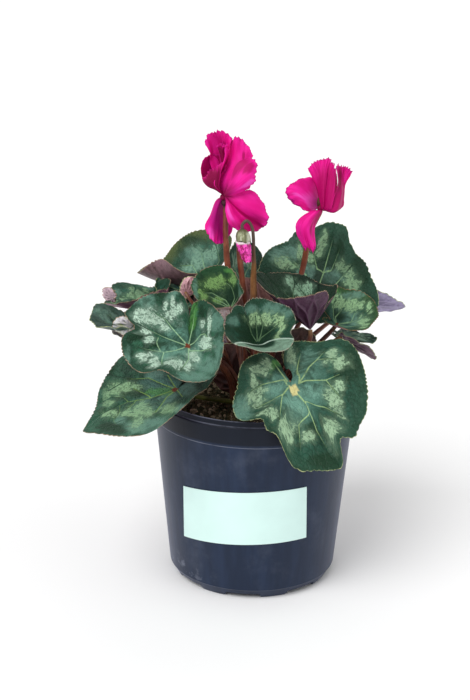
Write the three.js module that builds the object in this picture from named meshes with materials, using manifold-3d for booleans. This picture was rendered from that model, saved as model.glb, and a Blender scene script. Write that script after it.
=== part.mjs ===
// Potted cyclamen: a nursery pot of soil, a tuber, marbled leaves on stalks, two blooms and a bud.
// Millimetres, +Z up. The origin is the centre of the pot's base, and -Y is the plant's front.
import * as THREE from "three";
import { mergeVertices } from "three/addons/utils/BufferGeometryUtils.js";
import Module from "manifold-3d";

const wasm = await Module();
wasm.setup();

// Pot
const POT_HEIGHT = 134;
const RIM_RADIUS = 70;
const WALL = 1.5;
const COLLAR_BOTTOM = 115.6;
const COLLAR_TOP = 130.6;
const COLLAR_STEP = 0.9;
const LIP_INSET = 1.3;
const SKIRT_HEIGHT = 7.2;
const SKIRT_RADIUS = 58.8;
const FOOT_RADIUS = 54.3;
const FLOOR_UNDERSIDE = 4.2;
const POT_SIDES = 40;
const NOTCHES = 8;
const NOTCH_WIDTH = 23;
const NOTCH_HEIGHT = 3.4;
const FRONT_NOTCH_ANGLE = -97;

// Label on the pot's wall
const LABEL_WIDTH = 89;
const LABEL_MIDDLE_ANGLE = -96.5;
const LABEL_BOTTOM = 42;
const LABEL_TOP = 81.5;
const LABEL_THICKNESS = 0.6;

// Soil and tuber
const SEAT_GAP = 0.3;
const SOIL_LEVEL = 121;
const SOIL_LUMP = 1.4;
const SOIL_SIDES = 32;
const TUBER_RADIUS = 24;
const TUBER_TOP = 126;
const TUBER_HEIGHT = 20;
const TUBER_SIDES = 24;

// Leaves and stalks
const BLADE = 0.8;
const STALK_RADIUS = 1.7;
const SCAPE_RADIUS = 2.1;
const STALK_SIDES = 6;
const STALK_STEPS = 8;
const SCAPE_STEPS = 12;
const TOOTH = 0.012;
const BEND_STEPS = 8;
const BLADE_RINGS = [0.36, 0.7, 1];
const BLADE_COLUMNS = 24;
const LARGE_BLADE_RINGS = [0.26, 0.5, 0.76, 1];
const LARGE_BLADE_COLUMNS = 38;
const LOBE_ROUNDING = 0.42;
const LOBE_ROUNDING_ANGLE = 34;

// Petals
const PETAL = 0.8;
const PETAL_RINGS = [0.22, 0.42, 0.62, 0.82, 1];
const PETAL_COLUMNS = 8;
const PETAL_TOOTH = 0.03;
const THROAT_RADIUS = 3.4;
const CALYX_APPROACH = 7;
const CALYX_RADIUS = 3.2;

// Bud
const BUD_RADIUS = 3.8;
const BUD_LENGTH = 15;
const BUD_CALYX = 8;
const BUD_RIDGE = 0.7;
const BUD_TWIST = 50;
const BUD_STALK_RADIUS = 1.8;
const HOOK_STEPS = 20;

const RAD = Math.PI / 180;

// A closed mesh as a solid for cutting and joining.
function solidOf(geometry) {
  const bare = geometry.index ? geometry.toNonIndexed() : geometry.clone();
  for (const name of Object.keys(bare.attributes)) {
    if (name !== "position") bare.deleteAttribute(name);
  }
  const merged = mergeVertices(bare, 1e-3);
  return new wasm.Manifold(
    new wasm.Mesh({
      numProp: 3,
      vertProperties: new Float32Array(merged.attributes.position.array),
      triVerts: new Uint32Array(merged.index.array),
    }),
  );
}

// A solid's vertices and triangles as a geometry.
function geometryOf(solid) {
  const mesh = solid.getMesh();
  const positions = new Float32Array(mesh.numVert * 3);
  for (let i = 0; i < mesh.numVert; i++) {
    const start = i * mesh.numProp;
    positions.set(mesh.vertProperties.subarray(start, start + 3), i * 3);
  }
  return new THREE.BufferGeometry()
    .setAttribute("position", new THREE.BufferAttribute(positions, 3))
    .setIndex(new THREE.BufferAttribute(new Uint32Array(mesh.triVerts), 1));
}

// A lathe turned about Z from a profile of [radius, height] that closes on itself or on the axis.
function turned(profile, sides) {
  const points = profile.map(([radius, height]) => new THREE.Vector2(radius, height));
  return new THREE.LatheGeometry(points, sides).rotateX(Math.PI / 2);
}

function polar(radius, degrees, z) {
  return new THREE.Vector3(radius * Math.cos(degrees * RAD), radius * Math.sin(degrees * RAD), z);
}

// Outer radius of the pot's wall at a height between the skirt and the collar.
function wallRadius(z) {
  const share = (z - SKIRT_HEIGHT) / (COLLAR_BOTTOM - SKIRT_HEIGHT);
  return SKIRT_RADIUS + (RIM_RADIUS - COLLAR_STEP - SKIRT_RADIUS) * share;
}

// The pot's shell, with notches in its base ring and a drain hole behind each.
function potGeometry() {
  const floor = FLOOR_UNDERSIDE + WALL;
  const profile = [
    [0, FLOOR_UNDERSIDE],
    [FOOT_RADIUS - 4, FLOOR_UNDERSIDE],
    [FOOT_RADIUS - 2.2, 0],
    [FOOT_RADIUS, 0],
    [SKIRT_RADIUS - 0.7, SKIRT_HEIGHT - 0.5],
    [SKIRT_RADIUS, SKIRT_HEIGHT],
    [wallRadius(COLLAR_BOTTOM), COLLAR_BOTTOM],
    [RIM_RADIUS - 0.3, COLLAR_BOTTOM + 0.9],
    [RIM_RADIUS, COLLAR_TOP - 0.8],
    [RIM_RADIUS - LIP_INSET, COLLAR_TOP],
    [RIM_RADIUS - LIP_INSET - 0.3, POT_HEIGHT],
    [RIM_RADIUS - LIP_INSET - WALL, POT_HEIGHT],
    [wallRadius(COLLAR_BOTTOM) - WALL, COLLAR_BOTTOM],
    [wallRadius(floor + 3) - WALL, floor + 3],
    [wallRadius(floor) - WALL - 3, floor],
    [0, floor],
  ];
  let pot = solidOf(turned(profile, POT_SIDES));
  for (let i = 0; i < NOTCHES; i++) {
    const angle = FRONT_NOTCH_ANGLE + (360 / NOTCHES) * i;
    const notch = new THREE.BoxGeometry(16, NOTCH_WIDTH, 2 * NOTCH_HEIGHT)
      .translate(FOOT_RADIUS, 0, 0)
      .rotateZ(angle * RAD);
    const drain = new THREE.BoxGeometry(9, NOTCH_WIDTH / 2, 3 * WALL)
      .translate(FOOT_RADIUS - 11, 0, FLOOR_UNDERSIDE + WALL / 2)
      .rotateZ(angle * RAD);
    pot = pot.subtract(solidOf(notch)).subtract(solidOf(drain));
  }
  return geometryOf(pot);
}

// The inside of the pot, shrunk by the seating gap, for the soil to fill.
function soilGeometry() {
  const floor = FLOOR_UNDERSIDE + WALL + SEAT_GAP;
  const inside = (z) => wallRadius(z) - WALL - SEAT_GAP - 0.4;
  const rings = [0.93, 0.82, 0.7, 0.58, 0.47];
  const top = inside(COLLAR_BOTTOM);
  const profile = [
    [0, floor],
    [inside(floor) - 4, floor],
    [inside(floor + 4), floor + 4],
    [top, COLLAR_BOTTOM - 0.5],
    [top, SOIL_LEVEL - 1],
    ...rings.map((share) => [top * share, SOIL_LEVEL]),
    [TUBER_RADIUS + 1.2, SOIL_LEVEL - 0.8],
    ...tuberProfile(SEAT_GAP).reverse(),
  ];
  const geometry = turned(profile, SOIL_SIDES);
  const position = geometry.attributes.position;
  for (let i = 0; i < position.count; i++) {
    const radius = Math.hypot(position.getX(i), position.getY(i));
    if (position.getZ(i) < SOIL_LEVEL - 0.5 || radius < TUBER_RADIUS + 2) continue;
    position.setZ(i, SOIL_LEVEL + soilLump(position.getX(i), position.getY(i)));
  }
  return geometry;
}

// Height of the soil's lumps over its mean level, from three crossed waves.
function soilLump(x, y) {
  const wave =
    Math.sin(x * 0.31 + 1.2) * Math.cos(y * 0.27 - 0.6) +
    0.6 * Math.sin(0.53 * (x - y) + 2.1) +
    0.5 * Math.cos(0.41 * (x + 1.7 * y));
  return SOIL_LUMP * 0.5 * wave;
}

// The tuber's lower half, from its underside at the axis out to its widest edge, grown by a gap.
function tuberProfile(gap) {
  const steps = [-90, -60, -30, -5];
  const middle = TUBER_TOP - TUBER_HEIGHT / 2;
  return steps.map((angle) => [
    (TUBER_RADIUS + gap) * Math.cos(angle * RAD) * (angle === -90 ? 0 : 1),
    middle + (TUBER_HEIGHT / 2 + gap) * Math.sin(angle * RAD),
  ]);
}

// Height of the tuber's domed top at a distance from its axis.
function tuberTop(radius) {
  const share = Math.min(1, radius / TUBER_RADIUS);
  return TUBER_TOP - TUBER_HEIGHT / 2 + (TUBER_HEIGHT / 2) * Math.sqrt(1 - share * share);
}

// The tuber is a flattened ball that stands a little out of the soil.
function tuberGeometry() {
  const upper = [0, 30, 60].map((angle) => [
    TUBER_RADIUS * Math.cos(angle * RAD),
    TUBER_TOP - TUBER_HEIGHT / 2 + (TUBER_HEIGHT / 2) * Math.sin(angle * RAD),
  ]);
  return turned([...tuberProfile(0), ...upper, [0, TUBER_TOP]], TUBER_SIDES);
}

// A thin curved rectangle that follows the pot's wall.
function labelGeometry() {
  const columns = 18;
  const rows = [];
  for (const z of [LABEL_BOTTOM, LABEL_TOP]) {
    const row = [];
    for (let i = 0; i <= columns; i++) {
      const around = LABEL_WIDTH * (i / columns - 0.5);
      const angle = LABEL_MIDDLE_ANGLE + around / wallRadius(z) / RAD;
      row.push(polar(wallRadius(z) + SEAT_GAP + LABEL_THICKNESS / 2, angle, z));
    }
    rows.push(row);
  }
  return sheetGeometry(rows, LABEL_THICKNESS);
}

// A closed thin solid from a grid of points, half the thickness to each side of the grid.
// With an apex, the first row is one point that every column starts from.
function sheetGeometry(rows, thickness, apex = null) {
  const columns = rows[0].length;
  const points = rows.flat();
  const triangles = [];
  const at = (row, column) => row * columns + column;
  for (let r = 0; r + 1 < rows.length; r++) {
    for (let c = 0; c + 1 < columns; c++) {
      const [p, q, s, t] = [at(r, c), at(r, c + 1), at(r + 1, c + 1), at(r + 1, c)];
      if (2 * c < columns - 1) triangles.push([p, q, s], [p, s, t]);
      else triangles.push([p, q, t], [q, s, t]);
    }
  }
  const edge = [];
  for (let c = 0; c < columns; c++) edge.push(at(rows.length - 1, c));
  for (let r = rows.length - 2; r >= 0; r--) edge.push(at(r, columns - 1));
  if (apex) {
    const tip = points.length;
    points.push(apex);
    for (let c = 0; c + 1 < columns; c++) triangles.push([tip, at(0, c + 1), at(0, c)]);
    edge.push(tip);
  } else {
    for (let c = columns - 2; c >= 0; c--) edge.push(at(0, c));
  }
  for (let r = apex ? 0 : 1; r < rows.length - 1; r++) edge.push(at(r, 0));

  const normals = points.map(() => new THREE.Vector3());
  const [ab, ac] = [new THREE.Vector3(), new THREE.Vector3()];
  for (const [a, b, c] of triangles) {
    ab.subVectors(points[b], points[a]);
    ac.subVectors(points[c], points[a]);
    ab.cross(ac);
    for (const i of [a, b, c]) normals[i].add(ab);
  }
  const positions = [];
  for (const side of [0.5, -0.5]) {
    points.forEach((point, i) => {
      const moved = point.clone().addScaledVector(normals[i].clone().normalize(), side * thickness);
      positions.push(moved.x, moved.y, moved.z);
    });
  }
  const below = points.length;
  const index = [];
  for (const [a, b, c] of triangles) index.push(a, b, c, below + a, below + c, below + b);
  edge.forEach((a, i) => {
    const b = edge[(i + 1) % edge.length];
    index.push(a, b, below + b, a, below + b, below + a);
  });
  return new THREE.BufferGeometry()
    .setAttribute("position", new THREE.Float32BufferAttribute(positions, 3))
    .setIndex(index);
}

// Each leaf: where its stalk joins the blade, and the way its midrib points there as yaw, pitch and roll.
// size holds the midrib's length, and the sides' and back's reach as shares of it. gap is half the
// notch's angle, and lobe is how far the lobes beside it are rounded off. cup is the blade's slope at
// the stalk and what is added by its margin. curls lift the margin, and bumps lengthen it, about an
// angle from the midrib: [angle, spread, amount]. crown is the stalk's root on the tuber, as radius
// and angle, and reach holds the stalk's upright start, its end handle and the slope it arrives at.
const LEAVES = [
  // Front leaves that show their upper faces
  { name: "front_right", at: [23, -46, 154], aim: [-45, -51, 19], size: [65, 0.71, 0.49], gap: 9,
    cup: [5, 4],
    bumps: [[15, 7, -0.26], [32, 12, -0.14], [-42, 12, -0.26], [-64, 11, -0.32], [100, 20, 0.19]],
    crown: [15, -68], reach: [12, 14, 50], large: true },
  { name: "front_left_low", at: [-53, -31, 143], aim: [211, -24, -1], size: [65, 0.64, 0.58], gap: 17,
    cup: [7, 5], bumps: [[0, 9, 0.1], [-28, 18, -0.12], [-90, 25, 0.43], [90, 25, -0.17], [-140, 40, -0.5]],
    crown: [15, -144], reach: [4, 16, 60], large: true },
  { name: "front_left_high", at: [-45, -35, 175], aim: [-101, -40, 5], size: [43, 0.94, 0.88], gap: 8,
    cup: [27, 9],
    bumps: [[-35, 18, 0.1], [35, 18, 0.42], [-75, 22, 0.13], [75, 22, -0.13], [125, 25, -0.22]],
    crown: [15, -160], reach: [40, 18, 95], large: true },
  { name: "front_middle", at: [1, -30, 176], aim: [-52, -26, 12], size: [42, 0.74, 0.88], gap: 5,
    lobe: 0.12, cup: [34, 8], bumps: [[45, 25, -0.18]], crown: [15, -88], reach: [22, 14, 85] },
  { name: "centre_left", at: [-17, -12, 195], aim: [130, 9, -30], size: [33, 0.7, 0.51], gap: 8,
    cup: [35, 18], bumps: [[-100, 30, -0.19]], crown: [15, -124], reach: [30, 16, 80] },
  // Left leaves
  { name: "left_high", at: [-36, 40, 195], aim: [165, -22, -13], size: [49, 0.96, 0.66], gap: 10,
    cup: [25, 11], bumps: [[-40, 20, -0.14]], curls: [[60, 40, 70]],
    crown: [15, 137], reach: [30, 18, 85], large: true },
  { name: "left_middle", at: [-67, 6, 188.5], aim: [167, -30, -3], size: [38, 0.76, 0.55], gap: 9,
    cup: [31, 11], bumps: [[-40, 20, 0.24], [-80, 25, -0.27]], crown: [15, 169], reach: [50, 20, 80] },
  { name: "left_low", at: [-88, -24, 183], aim: [168, -5, -6], size: [25, 0.8, 0.38], gap: 9,
    cup: [19, 12], bumps: [[-35, 18, 0.25], [-100, 40, -0.4]], crown: [15, -175], reach: [50, 20, 70] },
  { name: "left_under", at: [-81, -4, 178], aim: [185, 0, -38], size: [19, 0.55, 0.35], gap: 12,
    cup: [10, 8], crown: [9, -168], reach: [40, 12, 50] },
  { name: "left_back", at: [-50, 16, 188], aim: [150, 14, -15], size: [17, 0.7, 0.39], gap: 9,
    cup: [9, 5], crown: [15, 153], reach: [25, 14, 75] },
  // Right leaves
  { name: "right_high", at: [43, 40, 191], aim: [54, 55, 38], size: [57, 0.77, 0.66], gap: 9,
    cup: [-3, -4],
    bumps: [[-22, 12, -0.17], [-45, 20, -0.17], [40, 20, -0.21], [-90, 25, 0.11], [-140, 45, -0.45]],
    crown: [15, 24], reach: [30, 18, 60], large: true },
  { name: "right_middle", at: [37, -12, 181], aim: [157, -11, 5], size: [51, 0.71, 0.73], gap: 9,
    cup: [47, 4], bumps: [[-60, 30, 0.12], [60, 30, -0.21], [0, 30, 0.06]],
    crown: [15, -40], reach: [20, 16, 85] },
  { name: "right_front", at: [56, 6, 179], aim: [1, -12, 19], size: [30, 0.9, 0.45], gap: 9,
    cup: [23, 15], bumps: [[100, 30, 0.18]], crown: [15, -8], reach: [20, 16, 75] },
  { name: "right_low", at: [60, 1, 172], aim: [-6, -33, -27], size: [28, 0.44, 0.15], gap: 30,
    cup: [2, -2], crown: [15, -24], reach: [14, 14, 60] },
  { name: "right_lower", at: [62, 30, 165], aim: [-15, -6, -3], size: [25, 0.52, 0.4], gap: 9,
    cup: [4, -7], crown: [15, 8], reach: [18, 14, 70] },
  { name: "right_far", at: [71, 71, 178], aim: [4, -17, -38], size: [37, 0.46, 0.34], gap: 9,
    cup: [6, 6], bumps: [[0, 12, 0.13], [-35, 18, -0.08], [35, 18, -0.08]],
    crown: [15, 40], reach: [30, 18, 70] },
  // Leaves at the back, lower than those in front of them
  { name: "back_middle", at: [-9, 36, 199], aim: [115, 69, 28], size: [32, 0.63, 0.41], gap: 9,
    cup: [8, 4], crown: [15, 104], reach: [30, 14, 75] },
  { name: "back_right", at: [25, 62, 164], aim: [54, -20, 5], size: [33, 0.84, 0.5], gap: 9,
    cup: [14, 10], bumps: [[-40, 20, -0.15]], crown: [15, 62], reach: [30, 20, 75] },
  { name: "back_left", at: [-38, 54, 166], aim: [132, -18, -4], size: [40, 0.85, 0.55], gap: 9,
    cup: [10, 12], bumps: [[40, 20, -0.12]], crown: [15, 120], reach: [20, 20, 75] },
  { name: "back_low", at: [-6, 56, 147], aim: [92, -34, 3], size: [40, 0.84, 0.45], gap: 9,
    cup: [8, 12], bumps: [[60, 25, 0.1], [-100, 40, -0.3]], crown: [15, 88], reach: [8, 18, 70] },
];

// Petals of each bloom, from the throat they share: the left edge, the middle and the right edge, each
// through three points in millimetres from the throat. frill is [waves across, lift, phase].
const BLOOMS = [
  {
    name: "bloom_left",
    at: [-23, -4, 270],
    petals: [
      {
        left: [[-7, 6, 14], [-8, 8, 29], [-13, 4, 38]],
        middle: [[-1, 9, 15], [-2, 11, 30], [-3, 7, 43]],
        right: [[4, 7, 16], [5, 9, 29], [6, 3, 40]],
        frill: [3, 1.2, 0],
      },
      {
        left: [[-1, -1, 14], [2, 0, 28], [4, 0, 38]],
        middle: [[4, 1, 15], [9, 3, 27], [14, 4, 38]],
        right: [[8, 0, 13], [16, 0, 21], [21, -2, 28]],
        frill: [3, 1.2, 40],
      },
      {
        left: [[2, -5, 12], [8, -7, 22], [17, -6, 28]],
        middle: [[4, -8, 8], [13, -13, 16], [22, -8, 20]],
        right: [[4, -4, 2], [12, -6, 4], [20, -3, 10]],
        frill: [2, 1, 90],
      },
      {
        left: [[-10, -2, 8], [-15, -4, 15], [-15, -5, 22]],
        middle: [[-7, -8, 13], [-9, -11, 21], [-9, -9, 29]],
        right: [[-3, -6, 11], [-2, -9, 20], [0, -8, 28]],
        frill: [2, 0.8, 20],
      },
      {
        left: [[5, -3, -5], [5.5, -3, -14], [11, -3, -23]],
        middle: [[10, -4, -4], [18, -6, -12], [24, -5, -22]],
        right: [[14, -2, 4], [23, -1, 0], [31, -1, -12]],
        frill: [3, 1, 60],
      },
      {
        left: [[-5, 1, -4], [-9, 2, -12], [-12, 1, -20]],
        middle: [[-3, 1, -9], [-4, 2, -20], [-5, 3, -32]],
        right: [[0, 6, -7], [2, 10, -17], [6, 13, -27]],
        frill: [2, 1, 0],
      },
    ],
    calyx: { at: [-22, -4, 264], towards: [-0.1, 0, 1], height: 2.6 },
    scape: [[6, 130], [-18, 5, 210], [-21, -1, 240]],
  },
  {
    name: "bloom_right",
    at: [43, 14, 259],
    petals: [
      {
        left: [[-3, -1, 12], [-7, -2, 21], [-9, -3, 28]],
        middle: [[0, -5, 15], [-1, -6, 28], [-1, -3, 35]],
        right: [[4, -4, 14], [6, -2, 24], [9, 2, 34]],
        frill: [3, 1.2, 0],
      },
      {
        left: [[7, 6, 8], [12, 8, 18], [12, 6, 29]],
        middle: [[12, 6, 5], [16, 8, 16], [18, 6, 28]],
        right: [[11, 1, -1], [16, 2, 9], [21, 2, 25]],
        frill: [2, 1, 30],
      },
      {
        left: [[2, -6, 7], [4, -7, 16], [5, -5, 26]],
        middle: [[6, -9, 4], [8, -11, 13], [8, -8, 23]],
        right: [[12, -5, 2], [14, -6, 9], [13, -4, 19]],
        frill: [2, 0.8, 70],
      },
      {
        left: [[-6, -4, -1], [-13, -6, 2], [-22, -4, 9]],
        middle: [[-9, -6, 7], [-17, -9, 12], [-25, -5, 14]],
        right: [[-4, -1, 16], [-12, -2, 21], [-22, -1, 18]],
        frill: [3, 1, 20],
      },
      {
        left: [[-10, -7, -2], [-15, -8, -10], [-11, -6, -25]],
        middle: [[-7, -10, -2], [-10, -11, -12], [-5, -8, -28]],
        right: [[-1, -5, -5], [-4, -6, -14], [-1, -5, -27]],
        frill: [3, 0.8, 0],
      },
    ],
    calyx: { at: [43, 19, 258], towards: [0, -0.1, 1], height: 9 },
    scape: [[6, 20], [33, 26, 205], [38, 21, 238]],
  },
];

// The bud nods from a stalk that hooks over it. The spent stalk has lost its petals.
const BUD = {
  at: [-10, -20, 244],
  scape: [
    [7, -60],
    [-1.5, -5, 200],
    [-2, -14, 230],
    [-2.8, -19.5, 248],
    [-4.2, -20, 254.5],
    [-7.2, -20, 257.5],
  ],
  approach: 3,
};
const SPENT = {
  name: "spent_flower",
  calyx: { at: [-10, 7, 256], towards: [0, 0.2, 1], height: 6 },
  scape: [[7, 75], [-9, 9, 206], [-12, 8, 236]],
};

// The midrib's direction, the direction across the blade, and the way its upper face looks.
function leafFrame(leaf) {
  const [yaw, pitch, roll] = leaf.aim.map((angle) => angle * RAD);
  const midrib = new THREE.Vector3(
    Math.cos(pitch) * Math.cos(yaw),
    Math.cos(pitch) * Math.sin(yaw),
    Math.sin(pitch),
  );
  const level = new THREE.Vector3(-Math.sin(yaw), Math.cos(yaw), 0);
  const upward = new THREE.Vector3().crossVectors(midrib, level);
  const side = level.clone().multiplyScalar(Math.cos(roll)).addScaledVector(upward, Math.sin(roll));
  const normal = upward.clone().multiplyScalar(Math.cos(roll)).addScaledVector(level, -Math.sin(roll));
  return { midrib, side, normal };
}

// A smooth bump of an amount about an angle, with a spread in degrees.
const bell = (angle, [at, spread, amount]) => amount * Math.exp(-(((angle - at) / spread) ** 2));

// Reach of the blade's outline at an angle in degrees from the midrib.
function outline(leaf, angle) {
  const [length, side, back] = leaf.size;
  const mean = ((1 + back) / 2 + side) / 2;
  const square = ((1 + back) / 2 - side) / 2;
  const plain = mean + ((1 - back) / 2) * Math.cos(angle * RAD) + square * Math.cos(2 * angle * RAD);
  const past = Math.abs(angle) - (180 - leaf.gap - LOBE_ROUNDING_ANGLE);
  const rounding = 1 - (leaf.lobe ?? LOBE_ROUNDING) * Math.max(0, past / LOBE_ROUNDING_ANGLE) ** 2.5;
  const bumps = (leaf.bumps ?? []).reduce((sum, bump) => sum + bell(angle, bump), 0);
  return length * plain * rounding * (1 + bumps);
}

// Slope of the blade, in radians, at a share of the way from the stalk to the margin.
function bladeSlope(leaf, angle, share) {
  const curl = (leaf.curls ?? []).reduce((sum, one) => sum + bell(angle, one), 0);
  return RAD * (leaf.cup[0] + leaf.cup[1] * share + curl * share ** 1.5);
}

// A point of the blade's middle surface, at an angle from the midrib and a share of its reach there.
function bladePoint(leaf, frame, angle, share, reach) {
  let across = 0;
  let rise = 0;
  for (let i = 0; i < BEND_STEPS; i++) {
    const slope = bladeSlope(leaf, angle, ((i + 0.5) / BEND_STEPS) * share);
    across += Math.cos(slope);
    rise += Math.sin(slope);
  }
  const step = (reach * share) / BEND_STEPS;
  return new THREE.Vector3(...leaf.at)
    .addScaledVector(frame.midrib, across * step * Math.cos(angle * RAD))
    .addScaledVector(frame.side, across * step * Math.sin(angle * RAD))
    .addScaledVector(frame.normal, rise * step);
}

function bladeGeometry(leaf) {
  const frame = leafFrame(leaf);
  const rings = leaf.large ? LARGE_BLADE_RINGS : BLADE_RINGS;
  const columns = leaf.large ? LARGE_BLADE_COLUMNS : BLADE_COLUMNS;
  const end = 180 - leaf.gap;
  const rows = rings.map((share, ring) => {
    const row = [];
    for (let c = 0; c <= columns; c++) {
      const angle = end - (2 * end * c) / columns;
      const tooth = ring === rings.length - 1 ? TOOTH * (c % 2 ? -1 : 1) : 0;
      row.push(bladePoint(leaf, frame, angle, share, outline(leaf, angle) * (1 + tooth)));
    }
    return row;
  });
  return sheetGeometry(rows, BLADE, new THREE.Vector3(...leaf.at));
}

// A round-sectioned tube along a curve.
function tubeGeometry(curve, radius, steps) {
  const section = new THREE.Shape();
  for (let i = 0; i < STALK_SIDES; i++) {
    const angle = (2 * Math.PI * i) / STALK_SIDES;
    const place = [radius * Math.cos(angle), radius * Math.sin(angle)];
    if (i) section.lineTo(...place);
    else section.moveTo(...place);
  }
  section.closePath();
  return new THREE.ExtrudeGeometry(section, { steps, extrudePath: curve, bevelEnabled: false });
}

// Where a stalk stands on the tuber: clear of its domed top by the seating gap.
function crownPoint([radius, angle], stalkRadius) {
  return polar(radius, angle, tuberTop(Math.max(0, radius - stalkRadius)) + SEAT_GAP);
}

// A leaf stalk rises upright from the tuber and bends to meet the blade's underside, clear of it.
function stalkCurve(leaf) {
  const { midrib, normal } = leafFrame(leaf);
  const [rise, handle, arrival] = leaf.reach;
  const root = crownPoint(leaf.crown, STALK_RADIUS);
  const arriving = midrib
    .clone()
    .multiplyScalar(Math.cos(arrival * RAD))
    .addScaledVector(normal, Math.sin(arrival * RAD));
  const tilt = RAD * Math.max(0, Math.abs(90 - arrival) - Math.max(0, leaf.cup[0]));
  const clear = (BLADE / 2 + SEAT_GAP + STALK_RADIUS * Math.sin(tilt)) / Math.cos(tilt);
  const end = new THREE.Vector3(...leaf.at).addScaledVector(arriving, -clear);
  return new THREE.CubicBezierCurve3(
    root,
    root.clone().add(new THREE.Vector3(0, 0, rise)),
    end.clone().addScaledVector(arriving, -handle),
    end,
  );
}

// A point on a petal at a share of the way out, and across from -1 at its left edge to 1 at its right.
function petalPoint(petal, along, across) {
  const ribs = [petal.left, petal.middle, petal.right].map((points) => ribPoint(points, along));
  const [waves, lift, phase] = petal.frill;
  const weights = [(across * (across - 1)) / 2, 1 - across * across, (across * (across + 1)) / 2];
  const point = new THREE.Vector3();
  ribs.forEach((rib, i) => point.addScaledVector(rib, weights[i]));
  const facing = new THREE.Vector3().subVectors(ribs[2], ribs[0]).cross(ribs[1]).normalize();
  const wave = Math.sin(Math.PI * waves * across + phase * RAD) * along ** 3;
  return point.addScaledVector(facing, lift * wave);
}

// A smooth line from the throat through three points.
function ribPoint(points, along) {
  const knots = [[0, 0, 0], ...points].map((point) => new THREE.Vector3(...point));
  return new THREE.CatmullRomCurve3(knots, false, "catmullrom", 0.5).getPoint(along);
}

// One petal with a toothed far edge.
function petalGeometry(petal) {
  const rows = PETAL_RINGS.map((along, ring) => {
    const row = [];
    for (let c = 0; c <= PETAL_COLUMNS; c++) {
      const tooth = ring === PETAL_RINGS.length - 1 ? PETAL_TOOTH * (c % 2 ? 0 : 1) : 0;
      row.push(petalPoint(petal, along - tooth, (2 * c) / PETAL_COLUMNS - 1));
    }
    return row;
  });
  return sheetGeometry(rows, PETAL, new THREE.Vector3());
}

// The petals fused at the throat, with a seat cut for the calyx.
function bloomGeometry(bloom) {
  let solid = solidOf(new THREE.IcosahedronGeometry(THROAT_RADIUS, 1));
  for (const petal of bloom.petals) solid = solid.add(solidOf(petalGeometry(petal)));
  const { at, towards, height } = bloom.calyx;
  const place = new THREE.Vector3(...at).sub(new THREE.Vector3(...bloom.at));
  const seat = calyxGeometry(place, towards, height, SEAT_GAP);
  return geometryOf(solid.subtract(solidOf(seat)).decompose()[0]).translate(...bloom.at);
}

// A green cup at the end of a flower stalk, grown by a gap where it is cut from the petals.
function calyxGeometry(at, towards, height, gap = 0) {
  const profile = [
    [0, -gap],
    [CALYX_RADIUS * 0.8 + gap, -gap],
    [CALYX_RADIUS + gap, height * 0.4],
    [CALYX_RADIUS * 0.4 + gap, height + gap],
    [0, height + gap],
  ];
  const axis = new THREE.Vector3(...towards).normalize();
  const turn = new THREE.Quaternion().setFromUnitVectors(new THREE.Vector3(0, 0, 1), axis);
  return turned(profile, 10).applyQuaternion(turn).translate(...at);
}

// A flower stalk from the tuber through its listed points to the underside of its calyx, which it
// meets along the calyx's axis from a distance. The first point is its root's radius and angle.
function scapeCurve([crown, ...places], calyx, approach) {
  const root = crownPoint(crown, SCAPE_RADIUS);
  const axis = new THREE.Vector3(...calyx.towards).normalize();
  const seat = new THREE.Vector3(...calyx.at);
  return new THREE.CatmullRomCurve3(
    [
      root,
      root.clone().add(new THREE.Vector3(0, 0, 12)),
      ...places.map((place) => new THREE.Vector3(...place)),
      seat.clone().addScaledVector(axis, -approach),
      seat.clone().addScaledVector(axis, -SEAT_GAP - 0.1),
    ],
    false,
    "catmullrom",
    0.5,
  );
}

// The bud's furled petals hang from its calyx as a cone whose ridges wind about it.
function budGeometry() {
  const rings = 6;
  const columns = 15;
  const positions = [];
  for (let r = 0; r <= rings; r++) {
    const share = r / rings;
    for (let c = 0; c < columns; c++) {
      const angle = (360 / columns) * c;
      const ridge = BUD_RIDGE * share * Math.cos(5 * angle * RAD) + (r === rings && c % 2 ? 0.5 : 0);
      const radius = BUD_RADIUS * (1 - 0.45 * share) + ridge;
      const place = polar(radius, angle + BUD_TWIST * share, -BUD_LENGTH * share);
      positions.push(place.x, place.y, place.z + (r === rings && c % 2 ? 1.5 : 0));
    }
  }
  const top = positions.length / 3;
  positions.push(0, 0, 0, 0, 0, -BUD_LENGTH * 0.9);
  const index = [];
  for (let c = 0; c < columns; c++) {
    const next = (c + 1) % columns;
    for (let r = 0; r < rings; r++) {
      const [a, b] = [r * columns + c, r * columns + next];
      index.push(a, a + columns, b + columns, a, b + columns, b);
    }
    index.push(top, c, next, top + 1, rings * columns + next, rings * columns + c);
  }
  return new THREE.BufferGeometry()
    .setAttribute("position", new THREE.Float32BufferAttribute(positions, 3))
    .setIndex(index)
    .translate(...BUD.at);
}

// The bud's calyx is an egg of sepals over the petals' wide end.
function budCalyxGeometry() {
  const profile = [
    [0, SEAT_GAP],
    [BUD_RADIUS - 0.2, SEAT_GAP],
    [BUD_RADIUS + 0.6, BUD_CALYX * 0.35],
    [BUD_RADIUS * 0.75, BUD_CALYX * 0.8],
    [SCAPE_RADIUS * 0.8, BUD_CALYX],
    [0, BUD_CALYX],
  ];
  return turned(profile, 12).translate(...BUD.at);
}

const plant = new THREE.Group();

function add(name, geometry, material) {
  const mesh = new THREE.Mesh(geometry, material);
  mesh.name = name;
  plant.add(mesh);
}

const finish = (color, roughness) => new THREE.MeshStandardMaterial({ color, roughness, metalness: 0 });
const POT_PLASTIC = finish(0x2b3145, 0.45);
const LABEL_PAPER = finish(0xd9f2ee, 0.6);
const SOIL = finish(0x2a2117, 0.95);
const TUBER = finish(0x5a3a2c, 0.85);
const LEAF_GREEN = finish(0x2f5a45, 0.5);
const STALK_RED = finish(0x7d4532, 0.55);
const PETAL_MAGENTA = finish(0xe0148c, 0.55);
const CALYX_GREEN = finish(0x6f7a4e, 0.6);

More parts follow.
